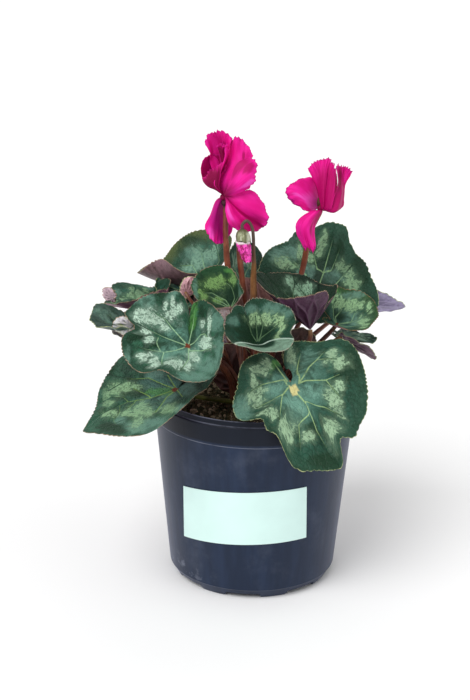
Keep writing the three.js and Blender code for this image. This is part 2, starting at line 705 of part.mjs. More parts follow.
add("pot", potGeometry(), POT_PLASTIC);
add("label", labelGeometry(), LABEL_PAPER);
add("soil", soilGeometry(), SOIL);
add("tuber", tuberGeometry(), TUBER);
for (const leaf of LEAVES) {
  const stalk = tubeGeometry(stalkCurve(leaf), STALK_RADIUS, STALK_STEPS);
  add(`leaf_${leaf.name}_blade`, bladeGeometry(leaf), LEAF_GREEN);
  add(`leaf_${leaf.name}_stalk`, stalk, STALK_RED);
}

for (const flower of [...BLOOMS, SPENT]) {
  const { at, towards, height } = flower.calyx;
  const scape = scapeCurve(flower.scape, flower.calyx, CALYX_APPROACH);
  if (flower.petals) add(`${flower.name}_petals`, bloomGeometry(flower), PETAL_MAGENTA);
  add(`${flower.name}_calyx`, calyxGeometry(at, towards, height), CALYX_GREEN);
  add(`${flower.name}_stalk`, tubeGeometry(scape, SCAPE_RADIUS, SCAPE_STEPS), STALK_RED);
}

const [budX, budY, budZ] = BUD.at;
const budCalyx = { at: [budX, budY, budZ + BUD_CALYX], towards: [0, 0, -1] };
const hook = scapeCurve(BUD.scape, budCalyx, BUD.approach);
add("bud_petals", budGeometry(), PETAL_MAGENTA);
add("bud_calyx", budCalyxGeometry(), CALYX_GREEN);
add("bud_stalk", tubeGeometry(hook, BUD_STALK_RADIUS, HOOK_STEPS), STALK_RED);

export default plant;
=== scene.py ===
"""Potted cyclamen: the fine surfaces and finishes of the plant, its soil, its pot and its label.

Shapes are worked out in millimetres and written in metres. The origin is the centre of the pot's
base, +Z is up and -Y is the plant's front.
"""
import math
from dataclasses import dataclass, field

import bmesh
import bpy
import numpy as np
from bpy.props import FloatProperty, FloatVectorProperty, IntProperty, PointerProperty
from mathutils import Matrix, Vector, noise


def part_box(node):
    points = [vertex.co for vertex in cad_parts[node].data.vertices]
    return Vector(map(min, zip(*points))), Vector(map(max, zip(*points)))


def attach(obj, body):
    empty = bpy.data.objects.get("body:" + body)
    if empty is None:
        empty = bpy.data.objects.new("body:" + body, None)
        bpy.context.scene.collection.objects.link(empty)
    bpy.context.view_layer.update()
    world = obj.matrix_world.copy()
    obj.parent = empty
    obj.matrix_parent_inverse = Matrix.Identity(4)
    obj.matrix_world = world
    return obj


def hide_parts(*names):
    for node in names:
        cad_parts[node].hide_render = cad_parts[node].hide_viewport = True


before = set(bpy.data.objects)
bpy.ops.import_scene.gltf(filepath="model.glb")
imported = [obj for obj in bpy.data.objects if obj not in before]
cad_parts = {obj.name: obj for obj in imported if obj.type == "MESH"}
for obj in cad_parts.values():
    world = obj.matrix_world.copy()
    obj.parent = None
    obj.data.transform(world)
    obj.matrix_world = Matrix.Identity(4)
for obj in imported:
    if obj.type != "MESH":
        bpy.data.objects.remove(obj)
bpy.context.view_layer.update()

bl_info = {
    "name": "Potted cyclamen",
    "version": (1, 0, 0),
    "blender": (4, 5, 0),
    "location": "View3D > Sidebar > Cyclamen",
    "description": "Builds the fine surfaces of a potted cyclamen around its packed solids",
    "category": "Add Mesh",
}

MM = 0.001
BODY = "root"

# The sizes that the solids were built from, in millimetres, degrees and shares
WALL = 1.5
COLLAR_BOTTOM = 115.6
COLLAR_TOP = 130.6
COLLAR_STEP = 0.9
LIP_INSET = 1.3
SKIRT_HEIGHT = 7.2
SKIRT_RADIUS = 58.8
FOOT_RADIUS = 54.3
FLOOR_UNDERSIDE = 4.2
NOTCHES = 8
NOTCH_WIDTH = 23
NOTCH_HEIGHT = 3.4
NOTCH_PERIOD = 360 / NOTCHES
NOTCH_HALF = math.degrees(math.asin(NOTCH_WIDTH / 2 / FOOT_RADIUS))
FRONT_NOTCH_ANGLE = -97
LABEL_MIDDLE_ANGLE = -96.5
SEAT_GAP = 0.3
SOIL_LEVEL = 121
SOIL_LUMP = 1.4
TUBER_RADIUS = 24
TUBER_TOP = 126
TUBER_HEIGHT = 20
BLADE = 0.8
BUD_RADIUS = 3.8
BUD_LENGTH = 15
BUD_CALYX = 8
BUD_STALK_RADIUS = 1.8
LOBE_ROUNDING = 0.42
LOBE_ROUNDING_ANGLE = 34
BEND_STEPS = 8

# How many sides a stalk has, and how far the floor reaches in millimetres
STALK_SIDES = 16
FLOOR_REACH = 20000

# How the label is stuck on: its right end's rise, its upward bow and its turn in degrees
LABEL_TILT = 5.1
LABEL_BOW = 1.5
LABEL_TURN = -0.45

# How a blade's veins spread: their spacing in degrees, and the shares of its reach where each vein
# forks and where the forks of neighbours meet
VEIN_SPACING = 36
FORK_START = 0.42
FORK_END = 0.9

# Keeps a count of vein spacings above 0 and puts its half on the midrib
VEIN_PHASE = 20.5

# Stand for a distance that nothing reaches: from a patch or line, and in millimetres from a vein
FAR = 9.0
FAR_FROM_VEIN = 50.0

# The share of a blade's reach within which the hole beside its stalk closes
HOLE_REACH = 0.33

# Half the width of the silver band on a leaf without marks of its own, as a share of its reach
BAND_HALF_WIDTH = 0.2

# Where the pot's foot is scuffed, from none to full: below a height and left of the middle
SCUFF_HEIGHTS = (30 * MM, 6 * MM)
SCUFF_SIDES = (-20 * MM, -50 * MM)

# The tint of the pot's soft sheen
PLASTIC_SHEEN = (0.62, 0.66, 0.9)

# How the bud's petals twist in degrees and how far their tip leans. Its sepals carry a painted
# whitish highlight from and to these distances right of its middle, and its petals are white where
# they leave them.
BUD_TWIST = 50
BUD_LEAN = 3.9
BUD_SEPAL_HIGHLIGHT_SIDE = (2.0, 4.4)
BUD_WHITE = (0.85, 0.72, 0.76)

# The share of its path at which the bud's stalk has got thin
NECK_END = 0.44


# Colours

def rgb(code):
    """A linear colour from the six hexadecimal digits that a screen shows it by."""
    shown = [int(code[i : i + 2], 16) / 255 for i in (0, 2, 4)]
    return tuple(c / 12.92 if c <= 0.04045 else ((c + 0.055) / 1.055) ** 2.4 for c in shown)


def toned(colour, factor, lift=0.0):
    """A colour made darker or lighter."""
    return tuple(min(1, c * factor + lift) for c in colour)


# Meshes

def polar(radius, degrees, z):
    angle = np.radians(degrees)
    return np.stack(np.broadcast_arrays(radius * np.cos(angle), radius * np.sin(angle), z), -1)


def unit(vectors):
    return vectors / np.maximum(np.linalg.norm(vectors, axis=-1, keepdims=True), 1e-9)


def add_mesh(name, points, faces):
    """A mesh object from millimetre points."""
    mesh = bpy.data.meshes.new(name)
    mesh.from_pydata((np.asarray(points) * MM).tolist(), [], faces)
    made = bpy.data.objects.new(name, mesh)
    bpy.context.scene.collection.objects.link(made)
    return made


def add_piece(name, points, faces, materials, nodes, attributes=None, kinds=None, sharp=None):
    """Makes a mesh object, attaches it to the body it rides on and hides the solids it stands for."""
    piece = add_mesh(name, points, faces)
    mesh = piece.data
    for material in materials:
        mesh.materials.append(material)
    if kinds is not None:
        mesh.polygons.foreach_set("material_index", kinds)
    for key, values in (attributes or {}).items():
        values = np.asarray(values, np.float32)
        flat = values.ndim == 1
        layer = mesh.attributes.new(key, "FLOAT" if flat else "FLOAT_VECTOR", "POINT")
        layer.data.foreach_set("value" if flat else "vector", values.ravel())
    mesh.shade_smooth()
    if sharp:
        mesh.set_sharp_from_angle(angle=math.radians(sharp))
    mesh.update()
    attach(piece, BODY)
    if nodes:
        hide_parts(*nodes)
    return piece


def grid_faces(rows, columns, closed=False):
    """Quads between neighbouring rows of points. A closed grid joins its last column to its first."""
    faces = []
    for r in range(rows - 1):
        for c in range(columns if closed else columns - 1):
            a, b = r * columns + c, r * columns + (c + 1) % columns
            faces.append((a, b, b + columns, a + columns))
    return faces


def two_sided(faces, count, edge):
    """Faces of a thin closed body whose back repeats its front's points in the same order."""
    back = [tuple(count + i for i in reversed(face)) for face in faces]
    return faces + back + [(a, b, count + b, count + a) for a, b in zip(edge, edge[1:] + edge[:1])]


def sheet(rows, thickness, apex):
    """A closed thin sheet from an array of rows of points that fan out from one point.

    Returns its points, its faces and each face's kind: 0 upper, 1 lower. The thickness may differ
    from point to point.
    """
    height, width = rows.shape[:2]
    normals = unit(np.cross(np.gradient(rows, axis=1), np.gradient(rows, axis=0)))
    half = np.broadcast_to(np.asarray(thickness), (height, width))[..., None] / 2
    middle = unit(normals[0].mean(0))
    upper = np.concatenate([(rows + normals * half).reshape(-1, 3), [apex + middle * half[0, 0]]])
    lower = np.concatenate([(rows - normals * half).reshape(-1, 3), [apex - middle * half[0, 0]]])
    tip = height * width
    top = grid_faces(height, width) + [(tip, c + 1, c) for c in range(width - 1)]
    edge = [(height - 1) * width + c for c in range(width)]
    edge += [r * width + width - 1 for r in range(height - 2, -1, -1)]
    edge += [tip]
    edge += [r * width for r in range(height - 1)]
    faces = two_sided(top, tip + 1, edge)
    kinds = [0] * len(top) + [1] * len(top) + [0] * len(edge)
    return np.concatenate([upper, lower]), faces, kinds


def ring_grid(rings, columns, low=0, high=1):
    """Each point's place along a turned form, from low to high, and its angle in degrees."""
    along = np.linspace(low, high, rings)
    return np.meshgrid(along, np.linspace(0, 360, columns, endpoint=False), indexing="ij")


def capped(rows, low, high):
    """A closed surface of rings of points, with a point at each end."""
    rings, columns = rows.shape[:2]
    faces = grid_faces(rings, columns, closed=True)
    first, last, top = rings * columns, rings * columns + 1, (rings - 1) * columns
    for i in range(columns):
        j = (i + 1) % columns
        faces.append((first, j, i))
        faces.append((last, top + i, top + j))
    return np.concatenate([rows.reshape(-1, 3), [low], [high]]), faces


def lathe(profile, angles):
    """A closed surface turned about Z. The profile of (radius, height) closes on itself or the axis."""
    points = np.concatenate([polar(radius, angles, height) for radius, height in profile])
    return points, grid_faces(len(profile), len(angles), closed=True)


def rounded(profile, radii, steps=5):
    """A profile whose corners are replaced by arcs of the given radii, 0 where a corner stays."""
    points = [np.asarray(point, float) for point in profile]
    out = []
    for i, point in enumerate(points):
        if not radii[i] or i in (0, len(points) - 1):
            out.append(point)
            continue
        before, after = points[i - 1] - point, points[i + 1] - point
        reach = min(radii[i], 0.45 * np.linalg.norm(before), 0.45 * np.linalg.norm(after))
        start, end = point + unit(before) * reach, point + unit(after) * reach
        for share in np.linspace(0, 1, steps):
            out.append((1 - share) ** 2 * start + 2 * share * (1 - share) * point + share**2 * end)
    return out


def tube(path, radii, sides):
    """A closed round tube along a path of points, with a radius for each."""
    path = np.asarray(path, float)
    tangents = unit(np.gradient(path, axis=0))
    side = unit(np.cross(tangents[0], (0, 1, 0) if abs(tangents[0][1]) < 0.9 else (1, 0, 0)))
    turns = np.linspace(0, 2 * math.pi, sides, endpoint=False)
    rows = []
    for point, tangent, radius in zip(path, tangents, radii):
        side = unit(side - tangent * np.dot(side, tangent))
        other = np.cross(tangent, side)
        rows.append(point + radius * (np.outer(np.cos(turns), side) + np.outer(np.sin(turns), other)))
    return capped(np.array(rows), path[0], path[-1])


def joined(parts):
    """Several (points, faces) as one."""
    points, faces, count = [], [], 0
    for more_points, more_faces in parts:
        points.append(more_points)
        faces += [tuple(count + i for i in face) for face in more_faces]
        count += len(more_points)
    return np.concatenate(points), faces


def smooth_between(a, b, c, d, t):
    """Points a share t of the way from b to c, on a smooth line that comes from a and goes on to d."""
    slope, next_slope = (c - a) / 2, (d - b) / 2
    square = (-3 * b + 3 * c - 2 * slope - next_slope) * t**2
    return b + slope * t + square + (2 * b - 2 * c + slope + next_slope) * t**3


def with_ends(knots):
    """Knots and one more beyond each end, in line with the last two."""
    return np.concatenate([2 * knots[:1] - knots[1:2], knots, 2 * knots[-1:] - knots[-2:-1]])


def catmull_rom(knots, shares):
    """Points at shares of the way along a smooth line through the knots."""
    knots = np.asarray(knots, float)
    place = np.asarray(shares, float) * (len(knots) - 1)
    segment = np.minimum(place.astype(int), len(knots) - 2)
    padded = with_ends(knots)
    return smooth_between(*(padded[segment + i] for i in range(4)), (place - segment)[..., None])


def catmull_rom_between(curves, shares):
    """Points at shares of the way across a stack of curves that were read at the same places."""
    place = np.clip(shares, 0, 1) * (len(curves) - 1)
    segment = np.minimum(place.astype(int), len(curves) - 2)
    padded = with_ends(curves)
    row, column = np.indices(shares.shape)
    knots = (padded[segment + i, row, column] for i in range(4))
    return smooth_between(*knots, (place - segment)[..., None])


def bezier(a, b, c, d, steps):
    t = np.linspace(0, 1, steps)[:, None]
    return (1 - t) ** 3 * a + 3 * t * (1 - t) ** 2 * b + 3 * t**2 * (1 - t) * c + t**3 * d


def patch_field(x, y, ellipses):
    """How far places are from the nearest of some ellipses, where 1 is on one's outline.

    Each ellipse is (x, y, half its length, half its width, turn in degrees).
    """
    nearest = np.full(np.shape(x), FAR)
    for middle_x, middle_y, half_length, half_width, turn in ellipses:
        cosine, sine = math.cos(math.radians(turn)), math.sin(math.radians(turn))
        off_x, off_y = x - middle_x, y - middle_y
        along = (off_x * cosine + off_y * sine) / half_length
        across = (off_y * cosine - off_x * sine) / half_width
        nearest = np.minimum(nearest, np.hypot(along, across))
    return nearest


def line_parts(lines):
    """Every straight part of some lines, as two ends."""
    return [ends for line in lines for ends in zip(line, line[1:])]


# Materials

def operation(name, swapped=False):
    """A method that adds a Math node of that name to its value's material."""
    def apply(self, other=0.0):
        a, b = (other, self) if swapped else (self, other)
        return self.shade.math(name, a, b)
    return apply


class Value:
    """A node's output, which is added, multiplied and so on as a number is."""

    def __init__(self, shade, socket):
        self.shade, self.socket = shade, socket

    __add__, __radd__ = operation("ADD"), operation("ADD", swapped=True)
    __sub__, __rsub__ = operation("SUBTRACT"), operation("SUBTRACT", swapped=True)
    __mul__, __rmul__ = operation("MULTIPLY"), operation("MULTIPLY", swapped=True)
    __truediv__ = operation("DIVIDE")
    __gt__ = operation("GREATER_THAN")
    __abs__ = operation("ABSOLUTE")


class Shade:
    """A material whose nodes are added by calls that return values. Paint is laid on its colour."""

    def __init__(self, name):
        self.material = bpy.data.materials.new(name)
        self.material.use_nodes = True
        self.tree = self.material.node_tree
        self.shader = self.tree.nodes["Principled BSDF"]
        self.colour = None

    def node(self, kind, inputs=(), output=0, **settings):
        """Adds a node with values for its inputs, by number or name, and returns one output."""
        made = self.tree.nodes.new("ShaderNode" + kind)
        for key, value in settings.items():
            setattr(made, key, value)
        for key, value in dict(inputs).items():
            self.put(value, made.inputs[key])
        return Value(self, made.outputs[output])

    def put(self, value, socket):
        """Links a value, or sets a plain number or colour."""
        if isinstance(value, Value):
            self.tree.links.new(value.socket, socket)
        elif socket.type == "RGBA" and len(value) == 3:
            socket.default_value = (*value, 1)
        else:
            socket.default_value = value

    def math(self, operation, a, b=0.0, clamp=False):
        return self.node("Math", enumerate((a, b)), operation=operation, use_clamp=clamp)

    def step(self, value, low, high):
        """0 below low and 1 above high, smooth between. Low may be the larger."""
        return self.node("MapRange", enumerate((value, low, high, 0, 1)), interpolation_type="SMOOTHSTEP")

    def mix(self, share, a, b):
        return self.node("Mix", {"Factor": share, "A": a, "B": b}, "Result", data_type="RGBA")

    def paint(self, share, tint):
        """Lays a tint over the colour, by share."""
        self.colour = self.mix(share, self.colour, tint)

    def vector(self, x, y, z=0.0):
        return self.node("CombineXYZ", enumerate((x, y, z)))

    def split(self, vector):
        made = self.node("SeparateXYZ", {0: vector}).socket.node
        return [Value(self, socket) for socket in made.outputs]

    def attribute(self, name):
        return self.node("Attribute", output="Vector", attribute_name=name)

    def amount(self, name):
        """An attribute that is one number."""
        return self.node("Attribute", output="Fac", attribute_name=name)

    def place(self):
        """The surface's own place in metres."""
        return self.node("TexCoord", output="Object")

    def stretched(self, share):
        """The place with only a share of its height, for lengthwise grain."""
        x, y, z = self.split(self.place())
        return self.vector(x, y, z * share)

    def lines(self, flat, lines):
        """The distance from the nearest of some lines, each a list of (x, y)."""
        nearest = FAR
        for (x0, y0), (x1, y1) in line_parts(lines):
            place = {
                "Vector": flat, "Location": ((x0 + x1) / 2, (y0 + y1) / 2, 0),
                "Rotation": (0, 0, math.atan2(y1 - y0, x1 - x0)),
            }
            last = self.node("Mapping", place, vector_type="TEXTURE")
            half = (math.hypot(x1 - x0, y1 - y0) / 2, 0, 0)
            last = self.node("VectorMath", {0: last}, operation="ABSOLUTE")
            last = self.node("VectorMath", {0: last, 1: half}, operation="SUBTRACT")
            last = self.node("VectorMath", {0: last, 1: (0, 0, 0)}, operation="MAXIMUM")
            last = self.node("VectorMath", {0: last}, "Value", operation="LENGTH")
            nearest = self.math("MINIMUM", nearest, last)
        return nearest

    def noise(self, vector, scale, detail=4, roughness=0.55, distortion=0):
        inputs = {
            "Vector": vector, "Scale": scale, "Detail": detail, "Roughness": roughness,
            "Distortion": distortion,
        }
        return self.node("TexNoise", inputs, "Fac")

    def cells(self, vector, scale, feature="F1"):
        return self.node("TexVoronoi", {"Vector": vector, "Scale": scale}, "Distance", feature=feature)

    def bump(self, height, distance, strength=1.0):
        """Relief of a height map. The distance is in metres."""
        relief = self.node("Bump", {"Height": height, "Distance": distance, "Strength": strength})
        self.put(relief, self.shader.inputs["Normal"])

    def finish(self, roughness, specular, sheen=0.0, sheen_roughness=0.5, sheen_tint=(1, 1, 1)):
        """Sets the shader's sockets."""
        for name, value in (
            ("Base Color", self.colour), ("Roughness", roughness), ("Specular IOR Level", specular),
            ("Sheen Weight", sheen), ("Sheen Roughness", sheen_roughness), ("Sheen Tint", sheen_tint),
        ):
            self.put(value, self.shader.inputs[name])
        return self.material


def vein_distance(shade, x, y, reach, veins):
    """The distance in millimetres from the nearest vein, the share of the reach, and the turn."""
    radius = shade.math("SQRT", x * x + y * y)
    turn = shade.math("ARCTAN2", y, x) / math.radians(VEIN_SPACING)
    if veins:
        return shade.lines(shade.vector(x, y), veins) * reach, radius, turn
    off = abs(shade.math("FRACT", turn + VEIN_PHASE) - 0.5)
    arc = radius * math.radians(VEIN_SPACING) * reach
    fork = abs(off - shade.step(radius, FORK_START, FORK_END) * 0.5) * arc
    beyond = (abs(turn) > 0.5) * (radius > FORK_START)
    return shade.math("MINIMUM", fork, off * arc + beyond * FAR_FROM_VEIN), radius, turn


def leaf_margin(shade, share, reach, leaves):
    """1 on the thin pale edge of a blade."""
    width = leaves.margin_width / MM
    return shade.step((1 - share) * reach, width, width * 0.3)


def leaf_silver(shade, leaf, radius, turn, broad, mottle, fine):
    """How silver places are: in the leaf's own patches, or in a broken band round its heart."""
    spikes = shade.noise(shade.vector(turn * 4.2, radius, leaf.seed + 5), 1, 4, 0.75)
    if "silver" in leaf.marks:
        away = shade.amount("silver") + (mottle - 0.5) * 3 + (spikes - 0.5) * 2.4
        specks = 0.3 + shade.step(fine, 0.38, 0.52) * 0.7
        haze = shade.step(away, 2.3, 1) * 0.22
        return shade.math("MAXIMUM", shade.step(away, 1.3, 0.92) * specks, haze)
    clouded = (broad - 0.5) * 0.5
    outer = (spikes - 0.5) * 0.75 + clouded + (leaf.band + BAND_HALF_WIDTH)
    inner = (leaf.band - BAND_HALF_WIDTH) - clouded
    breaks = shade.noise(shade.vector(turn * 1.1, radius, leaf.seed + 8), 1.3, 2)
    band = shade.step(outer - radius, -0.02, 0.07) * shade.step(radius - inner, -0.04, 0.14)
    return band * shade.step(breaks, 0.36, 0.5) * shade.step(mottle, 0.3, 0.5)


def leaf_upper_material(leaf, leaves):
    """Dark green with a slate heart, broken silver flames, forking pale veins and a thin margin."""
    shade = Shade(f"leaf_upper_{leaf.name}")
    x, y, share = shade.split(shade.attribute("disc"))
    reach = shade.amount("reach")
    nearest, radius, turn = vein_distance(shade, x, y, reach, leaf.veins)
    flat = shade.vector(x, y, leaf.seed)
    broad = shade.noise(flat, 2.6, 3)
    mottle = shade.noise(flat, 9, 5, 0.65, 0.4)
    fine = shade.noise(flat, 26, 4, 0.65)

    dark, light = leaf.dark or leaves.dark, leaf.light or leaves.light
    shade.colour = shade.mix(shade.step(mottle, 0.35, 0.7), dark, light)
    shade.paint(shade.step(fine, 0.5, 0.8) * 0.5, leaf.rim_green)
    shade.paint(shade.step(share, 0.7, 1), leaf.rim_green)
    heart = shade.mix(shade.step(mottle, 0.3, 0.65), leaf.heart, toned(leaf.heart, 0.7))
    shade.paint(shade.step(radius + (broad - 0.5) * 0.4, leaf.band, leaf.band - 0.32), heart)
    # A leaf without marks of its own gets painted sheen in pale slate clouds
    if not leaf.marks:
        clouds = shade.noise(shade.vector(x, y, leaf.seed + 3), 1.9, 3)
        shade.paint(shade.step(clouds, 0.5, 0.7) * 0.55, leaves.slate)
    # Painted sheen in slate patches, painted shade in dark ones, painted light through a fold in lit ones
    patches = {"slate": (leaves.slate, 0.55), "dark": (leaves.deep, 0.8), "lit": (leaves.lit, 0.55)}
    for kind, (tint, strength) in patches.items():
        if kind in leaf.marks:
            away = shade.amount(kind) + (mottle - 0.5) * 2.2
            shade.paint(shade.step(away, 1.5, 0.6) * strength, tint)
    # Painted shade: darker green blotches at random
    blotch = shade.noise(shade.vector(x, y, leaf.seed + 12), 4.6, 4, 0.6, 0.6)
    shade.paint(shade.step(blotch, 0.46, 0.66) * 0.6, leaves.deep)

    silvered = leaf_silver(shade, leaf, radius, turn, broad, mottle, fine)
    silvered = silvered * shade.step(nearest, 0.2, 0.9) * shade.step(radius, 0.99, 0.88)
    silver = shade.mix(shade.step(broad, 0.3, 0.6), toned(leaf.silver, 0.7), leaf.silver)
    shade.paint(silvered * leaf.amount, silver)

    half = leaves.vein_width / MM / 2
    line = shade.math("SUBTRACT", 1, nearest / (half * 1.3 - radius * (half * 0.95)), clamp=True)
    line = shade.step(line, 0, 0.7) * shade.step(radius, 0.85, 0.35) * shade.step(mottle, 0.2, 0.5)
    shade.paint(line * leaf.vein_show, leaf.vein)
    # A rolled rim painted pale as painted light, with a painted highlight along its crest
    if "lip" in leaf.marks:
        away = shade.amount("lip")
        pale = shade.mix(shade.step(mottle, 0.35, 0.65), leaves.lip, toned(leaves.lip, 0.6))
        shade.paint(shade.step(away, 1.02, 0.94) * shade.step(radius, 0.42, 0.58), pale)
        shade.paint(shade.step(abs(away - 0.96), 0.06, 0.01) * 0.8, leaves.crest)
    from_spot = shade.math("MAXIMUM", abs(x - leaf.spot_at[0]), abs(y - leaf.spot_at[1]))
    shade.paint(shade.step(from_spot, leaf.spot_size, leaf.spot_size * 0.6), leaf.spot)
    edge = leaf_margin(shade, share, reach, leaves)
    shade.paint(edge * (shade.step(mottle, 0.36, 0.6) * 0.9), leaf.margin)

    net = shade.cells(flat, 17, "DISTANCE_TO_EDGE")
    relief = shade.step(shade.amount("vein"), 0, 2.4) * 0.5 + shade.step(net, 0, 0.16) * 0.4
    shade.bump(relief + mottle + fine * 0.5, 0.0012, 0.8)
    return shade.finish(0.36 + fine * 0.3, 0.26)


def leaf_under_material(leaf, leaves):
    """Purple with raised paler veins, paler again towards the margin."""
    shade = Shade(f"leaf_under_{leaf.name}")
    x, y, share = shade.split(shade.attribute("disc"))
    reach = shade.amount("reach")
    nearest, _, _ = vein_distance(shade, x, y, reach, leaf.veins)
    flat = shade.vector(x, y, leaf.seed + 9)
    broad = shade.noise(flat, 3, 3)
    fine = shade.noise(flat, 18, 4, 0.6)
    shade.colour = shade.mix(shade.step(broad, 0.3, 0.7), leaf.under, leaf.under_dark)
    shade.paint(shade.step(fine, 0.5, 0.85), toned(leaf.under, 1.5))
    shade.paint(shade.step(nearest, 1.1, 0.3) * 0.5, toned(leaf.under, 1.8, 0.02))
    outer = shade.step(share, 0.55, 0.95) * shade.step(fine, 0.25, 0.6)
    shade.paint(outer * 0.6, toned(leaf.under, 2.1, 0.03))
    shade.paint(leaf_margin(shade, share, reach, leaves), leaf.margin)
    shade.bump(shade.step(shade.amount("vein"), 1.6, 0) + fine * 0.3, 0.0007, 0.7)
    return shade.finish(0.5, 0.4)


def stalk_material(name, low, high, top, top_from=0.86):
    """Patchy skin with fine lengthwise grain, changing towards its top."""
    shade = Shade(name)
    grain = shade.noise(shade.stretched(0.15), 900, 3)
    patch = shade.noise(shade.place(), 90, 3)
    shade.colour = shade.mix(shade.step(patch, 0.35, 0.7), low, high)
    shade.paint(shade.step(grain, 0.45, 0.8) * 0.4, toned(low, 0.45))
    shade.paint(shade.step(shade.amount("along"), top_from, top_from + 0.14), top)
    shade.bump(grain, 0.0002, 0.5)
    return shade.finish(0.42, 0.45)


# Kinds of patch on a petal and how strongly each covers, every patch an ellipse in the petal's
# (width, along) from (-1, 0) to (1, 1). deep and shade are painted shade in folds, pale is painted
# sheen, edge a painted highlight along a rim, and cool a purple that is partly painted shade.
PETAL_TONES = {"pale": 0.7, "cool": 0.85, "deep": 0.9, "shade": 0.95, "edge": 0.8}


def petal_material(name, flowers):
    """Velvety magenta with fine lengthwise veins, painted crimson shade in folds, painted purple shade."""
    shade = Shade(name)
    across, along, seed = shade.split(shade.attribute("petal"))
    veins = shade.noise(shade.vector(across, along * 0.16, seed), 9, 4, 0.6)
    cloud = shade.noise(shade.vector(across, along, seed), 1.7, 2)
    shade.colour = shade.mix(shade.step(cloud, 0.3, 0.7), flowers.petal, flowers.petal_light)
    shade.paint(shade.step(veins, 0.5, 0.78) * 0.22, flowers.petal_dark)
    # Darker towards the base: the throat's own colour with painted shade
    shade.paint(shade.step(along, 0.34, 0), flowers.throat)
    # Painted highlight towards the far ends
    shade.paint(shade.step(along, 0.86, 0.95) * 0.3, flowers.petal_light)
    # Each petal's patches of painted shade and painted highlight
    for kind, strength in PETAL_TONES.items():
        away = shade.amount(kind) + (veins - 0.5) * 1.1
        tone = flowers.petal_light if kind == "edge" else getattr(flowers, f"petal_{kind}")
        shade.paint(shade.step(away, 1.35, 0.55) * strength, tone)
    shade.paint(shade.step(along, 0.972, 0.995) * 0.5, flowers.petal_cool)
    shade.bump(veins, 0.00025, 0.5)
    return shade.finish(0.55, 0.14, 0.05, 0.4, flowers.petal_light)


def pot_material(pot):
    """Dark slate-blue moulded plastic, faint vertical streaks, scuffs, dusty patches, painted shade and
    highlights.
    """
    shade = Shade("pot_plastic")
    place = shade.place()
    x, _, z = shade.split(place)
    streak = shade.noise(shade.stretched(0.08), 130, 4, 0.6)
    dust_and_highlight = shade.noise(place, 38, 5, 0.65)
    speck = shade.noise(place, 420, 2, 0.6)
    shade.colour = shade.mix(shade.step(streak, 0.3, 0.75), pot.plastic, toned(pot.plastic, 1.5))
    shade.paint(shade.step(dust_and_highlight, 0.5, 0.85) * 0.14, pot.dust_and_highlight)
    scuff = shade.step(shade.noise(place, 90, 5, 0.7), 0.52, 0.66) * 0.65
    shade.paint(scuff * (shade.step(z, *SCUFF_HEIGHTS) * shade.step(x, *SCUFF_SIDES)), pot.dust_and_highlight)
    # Painted shade over the collar, where the leaves shade it
    above = shade.step(z, (COLLAR_BOTTOM + 1) * MM, (COLLAR_BOTTOM + 3) * MM)
    shade.paint(above * 0.88, toned(pot.plastic, 0.24))
    # Painted highlight lines along the moulded edges, in the colour of the dusty patches
    for height, half_width, strength in (
        (COLLAR_BOTTOM + 0.4, 0.55, 0.6), (COLLAR_TOP - 0.2, 0.5, 0.5), (pot.height / MM - 0.1, 0.5, 0.7),
    ):
        painted_edge_highlight = shade.step(abs(z - height * MM), half_width * MM, 0) * shade.step(dust_and_highlight, 0.3, 0.55)
        shade.paint(painted_edge_highlight * strength, pot.dust_and_highlight)
    shade.bump(streak * 0.6 + speck * 0.25, 0.00025, 0.6)
    return shade.finish(pot.roughness + dust_and_highlight * 0.16, 0.2, 0.22, 0.35, PLASTIC_SHEEN)


def label_material(pot):
    """Pale mint paper with a faint fibre."""
    shade = Shade("label_paper")
    place = shade.place()
    cloud = shade.noise(place, 40, 3)
    shade.colour = shade.mix(shade.step(cloud, 0.3, 0.7), pot.paper, toned(pot.paper, 0.95))
    shade.bump(shade.noise(place, 1400, 4, 0.7), 0.00006, 0.6)
    return shade.finish(0.42, 0.4)


def soil_material(soil):
    """Dark peat with brown fibre and pale grit."""
    shade = Shade("soil_bed")
    place = shade.place()
    lump = shade.noise(place, 110, 6, 0.7)
    grit = shade.cells(place, 420)
    shade.colour = shade.mix(shade.step(lump, 0.35, 0.7), soil.dark, soil.brown)
    shade.paint(shade.step(grit, 0.2, 0.08) * 0.5, soil.pale)
    shade.bump(lump + grit * -0.5, 0.002)
    return shade.finish(0.92, 0.2)


def crumb_material(soil):
    """Crumbs from near black to pale, by each crumb's own tint."""
    shade = Shade("soil_crumbs")
    tint = shade.amount("tint")
    grain = shade.noise(shade.place(), 900, 3, 0.6)
    shade.colour = shade.mix(shade.step(tint, 0, 0.6), soil.dark, soil.brown)
    shade.paint(shade.step(tint, 0.72, 1), soil.pale)
    shade.paint(shade.step(grain, 0.45, 0.7) * 0.5, soil.dark)
    shade.bump(grain, 0.0005, 0.8)
    return shade.finish(0.9, 0.25)


def tuber_material(soil):
    """Corky brown skin with cracks."""
    shade = Shade("tuber_skin")
    place = shade.place()
    rough = shade.noise(place, 160, 6, 0.7)
    crack = shade.cells(place, 150, "DISTANCE_TO_EDGE")
    shade.colour = shade.mix(shade.step(rough, 0.3, 0.7), soil.cork, soil.dark)
    shade.paint(shade.step(crack, 0.09, 0), soil.dark)
    shade.bump(rough + shade.step(crack, 0, 0.15), 0.0012, 0.9)
    return shade.finish(0.85, 0.25)


def calyx_material(name, low, high):
    """Matt sepals with fine lengthwise lines."""
    shade = Shade(name)
    lines = shade.noise(shade.stretched(0.1), 1300, 3)
    shade.colour = shade.mix(shade.step(shade.amount("along"), 0, 0.8), low, high)
    shade.paint(shade.step(lines, 0.5, 0.8) * 0.4, toned(low, 0.5))
    shade.bump(lines, 0.0002, 0.6)
    return shade.finish(0.6, 0.3)


